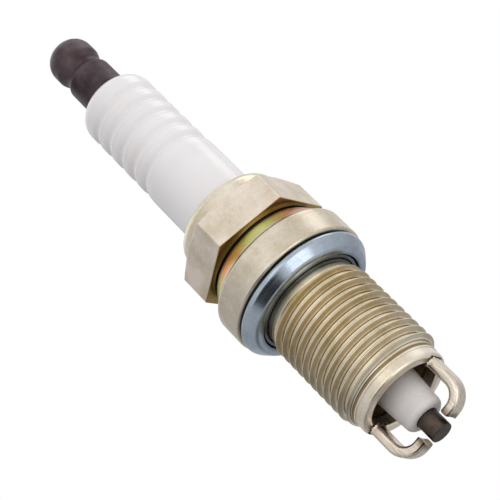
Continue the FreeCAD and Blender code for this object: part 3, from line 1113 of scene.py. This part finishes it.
@dataclass
class Ribs:
    """Shallow rounded grooves that leave ribs on an insulator."""

    first: float = -24.95
    pitch: float = 2.64
    count: int = 5
    depth: float = 0.3
    half_width: float = 0.85
    skin_radius: float = 4.0

    def cut(self, name: str, start: Mesh, material: Material) -> Object:
        """Press the grooves into a turned mesh with Geometry Nodes.

        Args:
            name: Name of the new piece.
            start: The plain turned mesh.
            material: The finish of the piece.

        Returns:
            The ribbed piece.
        """
        sizes = {
            "First Groove": self.first * MM,
            "Pitch": self.pitch * MM,
            "Last Number": float(self.count - 1),
            "Depth": self.depth * MM,
            "Half Width": self.half_width * MM,
            "Skin Radius": self.skin_radius * MM,
        }
        tree = GeometryTree(name, material, sizes)
        place = tree.node("GeometryNodeInputPosition")
        flat = tree.node(VECTOR_MATH, (place, (0.0, 1.0, 1.0)), operation="MULTIPLY")
        radius = tree.node(VECTOR_MATH, (flat,), operation="LENGTH")
        outer = tree.node(MATH, (radius, "Skin Radius"), operation="GREATER_THAN")
        hollow = tree.node(MATH, (self.hollow(tree, place), outer), operation="MULTIPLY")
        amount = tree.node(MATH, (hollow, "Depth"), operation="MULTIPLY")
        inward = tree.node(MATH, (amount, -1.0), operation="MULTIPLY")
        outward = tree.node(VECTOR_MATH, (flat,), operation="NORMALIZE")
        offset = tree.node(VECTOR_MATH, (outward, inward), operation="SCALE")
        pressed = tree.node("GeometryNodeSetPosition", {"Geometry": "Geometry", "Offset": offset})
        return tree.grow(pressed, start)

    def hollow(self, tree: GeometryTree, place: Node) -> Node:
        """Add how deep the nearest groove is at a place, from 0 to 1, as a cosine wave.

        Args:
            tree: The insulator's tree.
            place: The node that gives the place.

        Returns:
            The node that holds the share of the full depth.
        """
        along = tree.node(SEPARATE, (place,)).outputs["X"]
        passed = tree.node(MATH, ("First Groove", along), operation="SUBTRACT")
        turns = tree.node(MATH, (passed, "Pitch"), operation="DIVIDE")
        number = tree.node(MATH, (turns,), operation="ROUND")
        first = tree.node(MATH, (number, 0.0), operation="MAXIMUM")
        held = tree.node(MATH, (first, "Last Number"), operation="MINIMUM")
        centre = tree.node(MATH, (held, "Pitch"), operation="MULTIPLY")
        apart = tree.node(MATH, (passed, centre), operation="SUBTRACT")
        gap = tree.node(MATH, (apart,), operation="ABSOLUTE")
        share = tree.node(MATH, (gap, "Half Width"), operation="DIVIDE", use_clamp=True)
        angle = tree.node(MATH, (share, math.pi), operation="MULTIPLY")
        wave = tree.node(MATH, (angle,), operation="COSINE")
        return tree.node(MATH, (wave, 0.5, 0.5), operation="MULTIPLY_ADD")


@dataclass
class Spatter:
    """Small beads of weld metal thrown round the foot of a strip."""

    name: str
    seed: int
    spacing: float = 0.14
    small: float = 0.05
    large: float = 0.13
    density: float = 6.0e7

    def build(self, patch: Mesh, material: Material) -> Object:
        """Scatter beads over a patch with Geometry Nodes.

        Args:
            patch: The faces that the beads sit on.
            material: The finish of the beads.

        Returns:
            All beads as one mesh.
        """
        sizes = {
            "Spacing": self.spacing * MM,
            "Density": self.density,
            "Smallest": self.small * MM,
            "Largest": self.large * MM,
            "Seed": self.seed,
        }
        tree = GeometryTree(self.name, material, sizes)
        points = tree.node(
            "GeometryNodeDistributePointsOnFaces",
            {
                "Mesh": "Geometry",
                "Distance Min": "Spacing",
                "Density Max": "Density",
                "Seed": "Seed",
            },
            distribute_method="POISSON",
        )
        bead = tree.node("GeometryNodeMeshIcoSphere", {"Radius": 1.0, "Subdivisions": 2})
        size = tree.node(
            "FunctionNodeRandomValue",
            {0: "Smallest", 1: "Largest", "Seed": "Seed"},
            data_type="FLOAT",
        )
        beads = tree.node(
            "GeometryNodeInstanceOnPoints", {"Points": points, "Instance": bead, "Scale": size}
        )
        return tree.grow(beads, patch)


# ----------------------------------------------------------------- assemblies


@dataclass
class Hexagon:
    """The shell's hexagon: flats with rounded corners under a chamfered top."""

    half: float = 8.0
    bottom: float = -7.0
    top: float = -11.9
    phase: float = 46.0
    corner_rounding: float = 0.28
    chamfer_inner: float = 7.85
    chamfer_height: float = 0.5
    corner_steps: tuple[float, ...] = (0.0, 0.35, 0.7, 1.05, 1.5, 3.0)
    flat_steps: tuple[float, ...] = (5.0, 7.5, 10.0, 12.5, 15.0, 18.0, 21.0, 24.0, 27.0)

    def columns(self) -> list[float]:
        """Give the angles of the shell's columns, close together at the corners.

        Returns:
            Angles in degrees, in rising order.
        """
        rising = self.corner_steps + self.flat_steps
        side = [*rising, 30.0, *(60.0 - step for step in reversed(rising[1:]))]
        corner = self.phase + 30.0
        return [corner + 60.0 * face + step for face in range(6) for step in side]

    def radius(self, angle: float) -> float:
        """Give the outline's distance from the axis at an angle.

        Args:
            angle: Angle about X in degrees.

        Returns:
            The distance in millimetres.
        """
        from_corner = math.radians((angle - self.phase + 60.0) % 60.0 - 30.0)
        rounding = self.corner_rounding
        centre = (self.half - rounding) / math.cos(math.pi / 6)
        touch = math.atan2(rounding / 2, centre + rounding * math.cos(math.pi / 6))
        if abs(from_corner) < touch:
            offset = centre * math.sin(from_corner)
            return centre * math.cos(from_corner) + math.sqrt(rounding**2 - offset**2)
        return self.half / math.cos(math.pi / 6 - abs(from_corner))

    def chamfer_place(self, radius: float) -> float:
        """Give where the chamfer stands along X at a radius.

        Args:
            radius: Distance from the axis.

        Returns:
            The place along X.
        """
        corner = self.half / math.cos(math.pi / 6)
        slope = self.chamfer_height / (corner - self.chamfer_inner)
        return self.top + (radius - self.chamfer_inner) * slope

    def chamfer(self, share: float) -> Row:
        """Give a row part of the way out along the chamfer.

        Args:
            share: How far out, from 0 to 1.

        Returns:
            The row.
        """

        def row(angle: float) -> Point:
            at = self.chamfer_inner + (self.radius(angle) - self.chamfer_inner) * share
            return self.chamfer_place(at), at

        return row

    def under_chamfer(self, below: float) -> Row:
        """Give a row on the flats, a distance below the chamfer's edge."""
        return lambda angle: (self.chamfer_place(self.radius(angle)) + below, self.radius(angle))

    def over_underside(self, inset: float, above: float) -> Row:
        """Give a row in from the flats and above the underside, for its broken edge."""
        return lambda angle: (self.bottom - above, self.radius(angle) - inset)

    def rows(self, band_radius: float) -> list[Row]:
        """Give the rows from the chamfered top to the underside, as far in as the band.

        Args:
            band_radius: Radius of the lock band below.

        Returns:
            The rows in order.
        """
        return [
            (self.top, self.chamfer_inner - 0.04),
            (self.top + 0.01, self.chamfer_inner),
            self.chamfer(0.5),
            self.chamfer(0.93),
            self.under_chamfer(SUPPORT),
            self.under_chamfer(0.14),
            self.over_underside(0.0, 0.14),
            self.over_underside(0.0, 0.08),
            self.over_underside(0.02, 0.03),
            self.over_underside(0.08, 0.0),
            self.over_underside(0.16, 0.0),
            (self.bottom, band_radius + SUPPORT),
        ]


@dataclass
class Shell:
    """The plated steel shell: crimp, hexagon, tinted lock band, flange and threaded shank."""

    hexagon: Hexagon = field(default_factory=Hexagon)
    crimp_radius: float = 7.15
    crimp_top: float = -14.6
    crimp_roll: float = 1.3
    lip_radius: float = 5.3
    lip_depth: float = 0.7
    band_radius: float = 7.7
    band_top: float = -6.3
    groove_top: float = -6.65
    groove_depth: float = 0.35
    flange_radius: float = 9.45
    flange_height: float = 4.2
    flange_chamfer: float = 0.45
    neck_radius: float = 6.05
    neck_length: float = 3.2
    run_in_start: float = 0.8
    run_in_end: float = 2.0
    run_in_radius: float = 6.45
    root_radius: float = 6.21
    thread_radius: float = 6.95
    thread_pitch: float = 1.25
    thread_start: float = 1.9
    pilot_radius: float = 6.12
    pilot_start: float = 17.5
    reach: float = 19.0
    pilot_ring: float = 0.06
    mouth_radius: float = 4.75
    ledge_radius: float = 3.75
    ledge_top: float = 7.6
    ledge_bottom: float = 8.4
    ledge_slope: float = 1.0
    seat_end: float = -0.78
    packing_end: float = -1.9
    packing_radius: float = 6.35
    thread_fades: Point = (2.1, 1.2)
    slot: str = "shell_nickel"

    def top_outline(self) -> list[Row]:
        """Give the crimp's rows, from inside its lip to the hexagon's top.

        Returns:
            The rows in order.
        """
        top, shoulder = self.crimp_top, self.hexagon.top
        corners = [
            (top + self.lip_depth, self.lip_radius, 0.0),
            (top, self.lip_radius, 0.2),
            (top, self.crimp_radius, self.crimp_roll),
            (shoulder, self.crimp_radius + 0.1, 0.12),
            (shoulder, self.crimp_radius + 0.4, 0.0),
        ]
        return eased(corners, ring=False)

    def lower_outline(self) -> list[Row]:
        """Give the rows from the lock band to the mouth, and back up inside.

        Returns:
            The rows in order.
        """
        band, groove = self.band_radius, self.band_radius - self.groove_depth
        flange, neck, run_in = self.flange_radius, self.neck_radius, self.run_in_radius
        root, pilot, end = self.root_radius, self.pilot_radius, self.pilot_start
        mouth, ledge = self.mouth_radius, self.ledge_radius
        outside = [
            (self.hexagon.bottom, band, 0.0),
            (self.groove_top, band, 0.03),
            (self.groove_top, groove, 0.06),
            (self.band_top, groove, 0.06),
            (self.band_top, band, 0.05),
            (-self.flange_height, flange - self.flange_chamfer, 0.3),
            (-self.flange_height + self.flange_chamfer, flange, 0.3),
            (0.0, flange, 0.3),
            (0.0, neck, 0.15),
            (self.run_in_start, neck, 0.2),
            (self.run_in_end, run_in, 0.2),
            (self.neck_length, run_in, 0.1),
            (self.neck_length + 0.3, root, 0.1),
            (end - 0.5, root, 0.1),
            (end - 0.45, neck, 0.05),
            (end - 0.2, neck, 0.05),
            (end - 0.15, pilot + self.pilot_ring, 0.03),
            (end + 0.1, pilot + self.pilot_ring, 0.03),
            (end + 0.13, pilot - 0.04, 0.02),
            (end + 0.2, pilot - 0.04, 0.02),
            (end + 0.23, pilot, 0.02),
            (self.reach, pilot, 0.42),
        ]
        inside = [
            (self.reach, mouth, 0.3),
            (self.ledge_bottom + self.ledge_slope, mouth, 0.1),
            (self.ledge_bottom, ledge, 0.1),
            (self.ledge_top, ledge, 0.1),
            (self.ledge_top - self.ledge_slope, mouth, 0.1),
            (self.seat_end, mouth, 0.1),
            (self.packing_end, self.packing_radius, 0.1),
            (self.crimp_top + self.lip_depth, self.packing_radius, 0.05),
        ]
        return eased(outside + inside, ring=False)

    def build(self, plate: Material, bore: Material) -> None:
        """Build the shell's body.

        Args:
            plate: The plated outside's finish.
            bore: The finish of the faces inside the mouth, painted dark for the shade there.
        """
        hexagon = self.hexagon
        rows = self.top_outline() + hexagon.rows(self.band_radius) + self.lower_outline()
        mesh = turned_mesh(rows, hexagon.columns(), ring=True)
        for face in mesh.faces:
            centre = face.calc_center_median() / MM
            radius = math.hypot(centre.y, centre.z)
            inward = face.normal.dot(Vector((0, centre.y, centre.z))) < 0
            packed = centre.x < self.pilot_start and radius < self.packing_radius + 0.01
            in_mouth = radius < self.mouth_radius + 0.02
            face.material_index = 1 if in_mouth or (packed and inward) else 0
        body = make_piece("shell_body", mesh, plate, bore)
        declare(body, Body.PLUG, ["shell"])

    def build_thread(self, finish: Material) -> None:
        """Wind the M14 thread, which fades out at the neck and the pilot.

        Args:
            finish: The thread's finish.
        """
        thread = Thread(
            "shell_thread",
            root_radius=self.root_radius,
            crest_radius=self.thread_radius,
            pitch=self.thread_pitch,
            start=self.thread_start,
            end=self.pilot_start - 0.1,
            fade_in=self.thread_fades[0],
            fade_out=self.thread_fades[1],
        )
        declare(thread.build(finish), Body.PLUG)


@dataclass
class Insulator:
    """The alumina insulator: ribbed glazed barrel, belly inside the shell and bare nose."""

    top: float = -39.5
    rib_radius: float = 5.12
    barrel_radius: float = 5.2
    rib_end: float = -24.0
    belly_radius: float = 6.25
    belly_top: float = -8.9
    belly_bottom: float = -2.3
    stem_radius: float = 4.6
    stem_top: float = -1.15
    stem_bottom: float = 6.3
    nose_root_radius: float = 3.45
    nose_start: float = 7.45
    nose_radius: float = 2.5
    nose_end: float = 22.7
    bore_radius: float = 2.0
    electrode_bore: float = 1.425
    row_spacing: float = 0.16
    head_length: float = 2.3
    head_rounding: float = 2.2
    seal_floor: float = 2.6
    ribs: Ribs = field(default_factory=Ribs)

    def outline(self) -> list[Row]:
        """Give the insulator's rows, close together where the ribs will be pressed.

        Returns:
            The rows in order.
        """
        start, end = self.top + self.head_length, self.rib_end
        count = round((end - start) / self.row_spacing)
        ribbed = [(start + (end - start) * step / count, self.rib_radius) for step in range(count)]
        top = [
            (self.top, self.bore_radius, 0.0),
            (self.top, self.bore_radius + 0.1, 0.0),
            (self.top, self.rib_radius, self.head_rounding),
            (start - 0.02, self.rib_radius, 0.0),
        ]
        below = [
            (self.rib_end, self.rib_radius, 0.0),
            (self.rib_end + 0.8, self.barrel_radius, 0.6),
            (self.belly_top, self.barrel_radius, 0.1),
            (self.belly_top, self.belly_radius, 0.15),
            (self.belly_bottom, self.belly_radius, 0.3),
            (self.stem_top, self.stem_radius, 0.3),
            (self.stem_bottom, self.stem_radius, 0.15),
            (self.nose_start, self.nose_root_radius, 0.15),
            (self.nose_end, self.nose_radius, 0.7),
            (self.nose_end, self.electrode_bore, 0.12),
            (self.seal_floor, self.electrode_bore, 0.0),
            (self.seal_floor, self.bore_radius, 0.0),
        ]
        return eased(top, ring=False, steps=12) + ribbed + eased(below, ring=False, steps=7)

    def build(self, finish: Material) -> None:
        """Build the insulator and press its ribs.

        Args:
            finish: The insulator's finish.
        """
        mesh = turned_mesh(self.outline(), round_columns(), ring=True)
        plain = finished_mesh("insulator_plain", mesh)
        piece = self.ribs.cut("insulator_ribbed", plain, finish)
        declare(piece, Body.PLUG, ["insulator"])


@dataclass
class TerminalNut:
    """The screwed terminal nut: domed head, waist and skirt."""

    top: float = -50.8
    radius: float = 3.175
    waist_radius: float = 2.7
    skirt_radius: float = 3.12
    dome_rounding: float = 2.35
    head_end: float = -47.0
    waist_top: float = -45.75
    waist_bottom: float = -45.2
    skirt_start: float = -44.4
    bottom: float = -39.6
    collar_bore: float = 2.8
    collar_depth: float = 0.8
    bore: float = 2.04
    bore_end: float = -47.8
    drill_tip: float = -48.3

    def build(self, finish: Material) -> None:
        """Build the nut as one turned piece, bored from below.

        Args:
            finish: The nut's finish.
        """
        corners = [
            (self.top, 0.0, 0.0),
            (self.top, self.radius, self.dome_rounding),
            (self.head_end, self.radius, 1.3),
            (self.waist_top, self.waist_radius, 0.6),
            (self.waist_bottom, self.waist_radius, 0.6),
            (self.skirt_start, self.skirt_radius, 0.7),
            (self.bottom, self.skirt_radius, 0.12),
            (self.bottom, self.collar_bore, 0.08),
            (self.bottom - self.collar_depth, self.collar_bore, 0.05),
            (self.bottom - self.collar_depth, self.bore, 0.08),
            (self.bore_end, self.bore, 0.05),
            (self.drill_tip, 0.0, 0.0),
        ]
        piece = turned_piece("terminal_nut_turned", corners, finish, ring=False, steps=9)
        declare(piece, Body.NUT, ["terminal_nut"])


@dataclass
class TerminalStud:
    """The steel stud with its collar and the M4 thread that the nut screws on."""

    bottom: float = -12.2
    radius: float = 1.9
    collar_radius: float = 2.7
    collar_bottom: float = -39.5
    collar_top: float = -40.3
    relief_end: float = -40.8
    root_radius: float = 1.58
    crest_radius: float = 1.98
    pitch: float = 0.7
    relief_depth: float = 0.08
    top: float = -47.7

    def build(self, steel: Material, cut: Material) -> None:
        """Build the stud and wind its thread.

        Args:
            steel: The plain stud's finish.
            cut: The thread's finish.
        """
        relief = self.root_radius - self.relief_depth
        corners = [
            (self.top, 0.0, 0.0),
            (self.top, self.root_radius - 0.2, 0.1),
            (self.top + 0.3, self.root_radius, 0.1),
            (self.relief_end, self.root_radius, 0.0),
            (self.relief_end + 0.1, relief, 0.05),
            (self.collar_top, relief, 0.1),
            (self.collar_top, self.collar_radius, 0.15),
            (self.collar_bottom, self.collar_radius, 0.1),
            (self.collar_bottom, self.radius, 0.05),
            (self.bottom, self.radius, 0.25),
            (self.bottom, 0.0, 0.0),
        ]
        stud = turned_piece("terminal_stud_turned", corners, steel, ring=False)
        declare(stud, Body.PLUG, ["terminal_stud"])
        thread = Thread(
            "terminal_stud_thread",
            root_radius=self.root_radius,
            crest_radius=self.crest_radius,
            pitch=self.pitch,
            start=self.top + 0.25,
            end=self.relief_end,
            fade_in=0.4,
            fade_out=0.5,
            sink=0.05,
            resolution=48,
        )
        declare(thread.build(cut), Body.PLUG)


@dataclass
class CentreElectrode:
    """The centre electrode's nickel sheath, hollow for its copper core."""

    radius: float = 1.4
    end: float = 25.35
    head_radius: float = 1.9
    core_radius: float = 0.8
    core_end: float = 21.0
    head_top: float = 1.4
    head_bottom: float = 2.6
    edge_break: float = 0.11
    face_radius: float = 0.9

    def build(self, finish: Material) -> None:
        """Build the sheath with its head and a finely broken spark edge.

        Args:
            finish: The sheath's finish.
        """
        corners = [
            (self.core_end, 0.0, 0.0),
            (self.core_end, self.core_radius, 0.0),
            (self.head_top, self.core_radius, 0.0),
            (self.head_top, self.head_radius, 0.1),
            (self.head_bottom, self.head_radius, 0.1),
            (self.head_bottom, self.radius, 0.05),
            (self.end, self.radius, self.edge_break),
            (self.end, self.face_radius, 0.0),
            (self.end, 0.0, 0.0),
        ]
        piece = turned_piece("centre_electrode_tip", corners, finish, ring=False)
        declare(piece, Body.PLUG, ["centre_electrode_sheath"])


@dataclass
class GroundElectrode:
    """A nickel strip welded on the shell's end and bent in to face the centre electrode."""

    letter: str
    phase: float
    seed: int
    thickness: float = 1.3
    width: float = 2.4
    rounding: float = 0.45
    leg_radius: float = 5.03
    bend_radius: float = 2.3
    foot: float = 18.9
    outer_face: float = 25.05
    gap_radius: float = 2.2
    weld_flare: float = 0.1
    weld_height: float = 0.55
    weld_face: float = 19.0
    weld_inner: Point = (1.1, 1.02)
    weld_outer: Point = (1.25, 1.25)
    weld_rise: float = 0.02
    bend_steps: int = 22
    corner_steps: int = 6
    tip_rings: tuple[Point, ...] = (
        (1.0, 0.12),
        (1.0, 0.06),
        (0.98, 0.02),
        (0.93, 0.0),
        (0.6, 0.0),
        (0.25, 0.0),
    )
    slot: str = "electrode_nickel"

    def section(self) -> list[Point]:
        """Give the strip's section: distance outwards and sideways from its middle line.

        Returns:
            Points in order round the section.
        """
        points: list[Point] = []
        corners = ((1, -1), (1, 1), (-1, 1), (-1, -1))
        for number, (out, side) in enumerate(corners):
            centre_out = out * (self.thickness / 2 - self.rounding)
            centre_side = side * (self.width / 2 - self.rounding)
            for step in range(self.corner_steps + 1):
                angle = math.pi / 2 * (number - 1 + step / self.corner_steps)
                across = centre_out + self.rounding * math.cos(angle)
                points.append((across, centre_side + self.rounding * math.sin(angle)))
        return points

    def stations(self) -> list[tuple[float, float, float, float]]:
        """Give the middle line: place along X, radius, turn of the bend, swelling.

        Returns:
            The places in order from the weld to the tip.
        """
        middle = self.outer_face - self.thickness / 2
        bend_start = middle - self.bend_radius
        line = []
        for share in (0.0, 0.25, 0.5, 0.75, 1.0):
            swell = self.weld_flare * (1 - share) ** 2
            line.append((self.foot + self.weld_height * share, self.leg_radius, 0.0, swell))
        line.append((bend_start - 0.4, self.leg_radius, 0.0, 0.0))
        for step in range(self.bend_steps + 1):
            turn = math.pi / 2 * step / self.bend_steps
            x = bend_start + self.bend_radius * math.sin(turn)
            radius = self.leg_radius - self.bend_radius * (1 - math.cos(turn))
            line.append((x, radius, turn, 0.0))
        return line

    def place(self, x: float, radius: float, side: float) -> Vector:
        """Turn a point of the strip to its phase about X, in metres.

        Args:
            x: Place along X in millimetres.
            radius: Distance from the axis, along the strip's phase.
            side: Distance sideways.

        Returns:
            The point.
        """
        angle = math.radians(self.phase)
        across = radius * math.cos(angle) - side * math.sin(angle)
        up = radius * math.sin(angle) + side * math.cos(angle)
        return Vector((x, across, up)) * MM

    def tip_loop(self, share: float, inset: float) -> list[Vector]:
        """Give a loop on the hollow spark face, shrunk to a share of the section.

        Args:
            share: How much of the section is left.
            inset: How far the loop stands back from the spark face.

        Returns:
            The loop's points in metres.
        """
        middle = self.outer_face - self.thickness / 2
        loop = []
        for out, side in self.section():
            out, side = out * share, side * share
            radius = math.sqrt(self.gap_radius**2 - side**2) + inset
            loop.append(self.place(middle + out, radius, side))
        return loop

    def build(self, finish: Material, weld: Material) -> None:
        """Build the strip and the weld beads at its foot.

        Args:
            finish: The strip's finish.
            weld: The finish of the beads.
        """
        mesh = bmesh.new()
        loops = []
        for x, radius, turn, swell in self.stations():
            loop = []
            for out, side in self.section():
                out *= 1 + swell * 2
                side *= 1 + swell
                at = (x + out * math.sin(turn), radius + out * math.cos(turn), side)
                loop.append(mesh.verts.new(self.place(*at)))
            loops.append(loop)
        for share, inset in self.tip_rings:
            loops.append([mesh.verts.new(point) for point in self.tip_loop(share, inset)])
        for lower, upper in zip(loops, loops[1:]):
            join_loops(mesh, lower, upper)
        mesh.faces.new(reversed(loops[0]))
        mesh.faces.new(loops[-1])
        bmesh.ops.recalc_face_normals(mesh, faces=mesh.faces)
        piece = make_piece(f"ground_electrode_strip_{self.letter}", mesh, finish)
        declare(piece, Body.PLUG, [f"ground_electrode_{self.letter}"])
        beads = Spatter(f"weld_beads_{self.letter}", self.seed)
        declare(beads.build(self.weld_patch(), weld), Body.PLUG)

    def weld_patch(self) -> Mesh:
        """Give the narrow collar of faces round the foot that the beads sit on.

        Returns:
            The patch as a mesh.
        """
        mesh = bmesh.new()
        inner, outer = [], []
        for out, side in self.section():
            for loop, grown, rise in (
                (inner, self.weld_inner, self.weld_rise),
                (outer, self.weld_outer, 0.0),
            ):
                at = (self.weld_face + rise, self.leg_radius + out * grown[0], side * grown[1])
                loop.append(mesh.verts.new(self.place(*at)))
        join_loops(mesh, inner, outer)
        return finished_mesh(f"weld_patch_{self.letter}", mesh)


@dataclass
class SeatGasket:
    """The folded steel gasket, captive under the flange."""

    top: float = 0.15
    bottom: float = 2.23
    radius: float = 9.25
    fold_rounding: float = 0.7
    slope_start: float = 0.9
    sheet: float = 0.45
    fold_inset: float = 1.04
    leaf_radius: float = 7.2
    lip_radius: float = 6.6
    lip_recess: float = 0.18

    def build(self, finish: Material) -> None:
        """Build the gasket's folded section all the way round.

        Args:
            finish: The gasket's finish.
        """
        fold = self.radius - self.fold_inset
        lip, lip_end = self.lip_radius + self.sheet, self.bottom - self.lip_recess
        under, over = self.top + self.sheet, self.bottom - self.sheet
        corners = [
            (self.top, self.lip_radius, 0.36),
            (self.top, self.radius, self.fold_rounding),
            (self.slope_start, self.radius, self.fold_rounding),
            (self.bottom, fold, self.fold_rounding),
            (self.bottom, self.leaf_radius, 0.12),
            (over, self.leaf_radius, 0.1),
            (over, fold, 0.3),
            (under, fold, 0.3),
            (under, lip, 0.15),
            (lip_end, lip, 0.12),
            (lip_end, self.lip_radius, 0.12),
        ]
        piece = turned_piece("seat_gasket_folded", corners, finish, steps=10)
        declare(piece, Body.GASKET, ["seat_gasket"])


@dataclass
class Internals:
    """The pieces inside the plug, which keep the solid model's own shapes."""

    nodes: dict[str, Finish] = field(
        default_factory=lambda: {
            "centre_electrode_core": CORE_COPPER,
            "inner_seat_washer": WASHER_STEEL,
            "upper_packing_ring": WASHER_STEEL,
            "lower_packing_ring": WASHER_STEEL,
            "talc_packing": TALC,
            "upper_glass_seal": GLASS,
            "lower_glass_seal": GLASS,
            "resistor_element": RESISTOR,
        }
    )

    def dress(self, found: dict[str, Object]) -> None:
        """Give each inner node its real finish.

        Args:
            found: The solid model's nodes by name.
        """
        made = {finish.name: finish.build() for finish in dict.fromkeys(self.nodes.values())}
        for name, finish in self.nodes.items():
            data = found[name].data
            data.materials.clear()
            data.materials.append(made[finish.name])
            LOG.info("node %s dressed in %s", name, finish.name)


# --------------------------------------------------------------------- studio


def direction(azimuth: float, elevation: float) -> Vector:
    """Give the unit vector towards a viewer at an azimuth and elevation in degrees.

    Args:
        azimuth: Angle round the object from the front.
        elevation: Angle above the level.

    Returns:
        A vector of length 1.
    """
    turn, rise = math.radians(azimuth), math.radians(elevation)
    flat = math.cos(rise)
    return Vector((math.sin(turn) * flat, -math.cos(turn) * flat, math.sin(rise)))


@dataclass(frozen=True)
class Stand:
    """Where a light or the camera stands, seen from the point that it is aimed at."""

    azimuth: float
    elevation: float
    distance: float

    def hold(self, name: str, data: object, target: Vector) -> Object:
        """Put a light or camera on the stand and aim it.

        Args:
            name: Name of the new object.
            data: The light's or camera's data.
            target: The point that it faces.

        Returns:
            The new object.
        """
        held = add_object(name, data)
        away = direction(self.azimuth, self.elevation)
        held.location = target + away * (self.distance * MM)
        held.rotation_euler = away.to_track_quat("Z", "Y").to_euler()
        return held


@dataclass
class Softbox:
    """A flat soft light aimed at the plug."""

    name: str
    stand: Stand
    size: Point
    power: float

    def build(self, target: Vector) -> None:
        """Hang the light and aim it.

        Args:
            target: The point that it faces.
        """
        data = bpy.data.lights.new(self.name, "AREA")
        data.shape = "RECTANGLE"
        data.size, data.size_y = (side * MM for side in self.size)
        data.energy = self.power
        self.stand.hold(self.name, data, target)


@dataclass(frozen=True)
class Card:
    """A bright or dark board in the room round the plug, for metal to reflect.

    It fills a cone of half angle `core` and has faded out at `edge`, both in degrees. `level`
    is how bright it is beside a white sheet.
    """

    azimuth: float
    elevation: float
    core: float
    edge: float
    level: float


@dataclass
class Studio:
    """Pale floor, soft lights and the camera."""

    target: tuple[float, float, float] = (-6.621, -2.491, 3.063)
    stand: Stand = Stand(52.57, 50.71, 208.365)
    lens: float = 126.58
    sensor_width: float = 36.0
    clip_start: float = 10.0
    floor_height: float = -60.0
    floor_size: float = 3000.0
    lights: tuple[Softbox, ...] = (
        Softbox("key_softbox", Stand(100.0, 55.0, 420.0), (260.0, 260.0), 0.25),
        Softbox("fill_softbox", Stand(-10.0, 60.0, 500.0), (300.0, 300.0), 0.15),
    )
    room: Stops = (
        (0.0, "CBCBCD"),
        (0.35, "CDCDCF"),
        (0.5, "DCDCDD"),
        (0.65, "F0F0F0"),
        (0.8, "FEFEFE"),
    )
    room_strength: float = 0.9
    cards: tuple[Card, ...] = (
        Card(50.0, 14.0, 20.0, 28.0, 0.03),
        Card(78.0, -48.0, 10.0, 32.0, 0.25),
        Card(-84.0, -17.0, 22.0, 40.0, 1.2),
        Card(-137.0, 13.0, 8.0, 20.0, 2.2),
        Card(-147.0, -21.0, 10.0, 26.0, 0.95),
        Card(-80.0, 60.0, 10.0, 40.0, 1.1),
    )

    def aim(self) -> Vector:
        """Give the point that the camera and lights face, in metres."""
        return Vector(self.target) * MM

    def build_floor(self) -> None:
        """Lay a floor that only the camera sees, so that metal reflects the room."""
        half = self.floor_size / 2 * MM
        mesh = bmesh.new()
        bmesh.ops.create_grid(mesh, x_segments=1, y_segments=1, size=half)
        bmesh.ops.translate(mesh, verts=mesh.verts, vec=(0, 0, self.floor_height * MM))
        floor = make_piece("floor", mesh, FLOOR.build())
        floor.visible_diffuse = floor.visible_glossy = floor.visible_shadow = False

    def build_world(self) -> None:
        """Make the room's light: bright above, duller below, with the cards in it."""
        world = bpy.data.worlds.new("studio")
        bpy.context.scene.world = world
        world.use_nodes = True
        tree = world.node_tree
        way = add_node(tree, "ShaderNodeTexCoord").outputs["Generated"]
        height = add_node(tree, SEPARATE, (way,)).outputs["Z"]
        light = add_node(tree, RAMP, (add_node(tree, RANGE, (height, -1.0, 1.0)),), self.room)
        for card in self.cards:
            towards = direction(card.azimuth, card.elevation)
            facing = add_node(tree, VECTOR_MATH, (way, towards), operation="DOT_PRODUCT")
            edge, core = (math.cos(math.radians(angle)) for angle in (card.edge, card.core))
            share = add_node(tree, RANGE, (facing, edge, core))
            tone = (card.level, card.level, card.level, 1.0)
            light = add_node(tree, MIX, (share, light, tone), data_type="RGBA")
        background = {"Color": light, "Strength": self.room_strength}
        fill(tree, tree.nodes["Background"], background)

    def build_camera(self) -> None:
        """Set up the camera."""
        data = bpy.data.cameras.new("camera")
        data.sensor_width = self.sensor_width
        data.lens = self.lens
        data.clip_start = self.clip_start * MM
        bpy.context.scene.camera = self.stand.hold("camera", data, self.aim())

    def build(self) -> None:
        """Set up everything round the plug."""
        bpy.context.scene.view_settings.view_transform = "Standard"
        self.build_floor()
        self.build_world()
        for light in self.lights:
            light.build(self.aim())
        self.build_camera()


def main() -> None:
    """Build every assembly in order."""
    logging.basicConfig(level=logging.INFO, format="%(name)s: %(message)s")
    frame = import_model()
    shell = Shell()
    shell.build(SHELL_PLATE.build(), BORE_SHADED_STEEL.build())
    shell.build_thread(THREAD_PLATE.build())
    Insulator().build(ALUMINA.build())
    TerminalNut().build(NUT_STEEL.build())
    TerminalStud().build(STUD_STEEL.build(), STUD_THREAD.build())
    CentreElectrode().build(SHEATH_NICKEL.build())
    strip, weld = STRIP_NICKEL.build(), WELD_METAL.build()
    GroundElectrode("a", 40.0, seed=3).build(strip, weld)
    GroundElectrode("b", 220.0, seed=5).build(strip, weld)
    SeatGasket().build(GASKET_ZINC.build())
    Internals().dress(frame["nodes"])
    Studio().build()


if __name__ == "__main__":
    main()
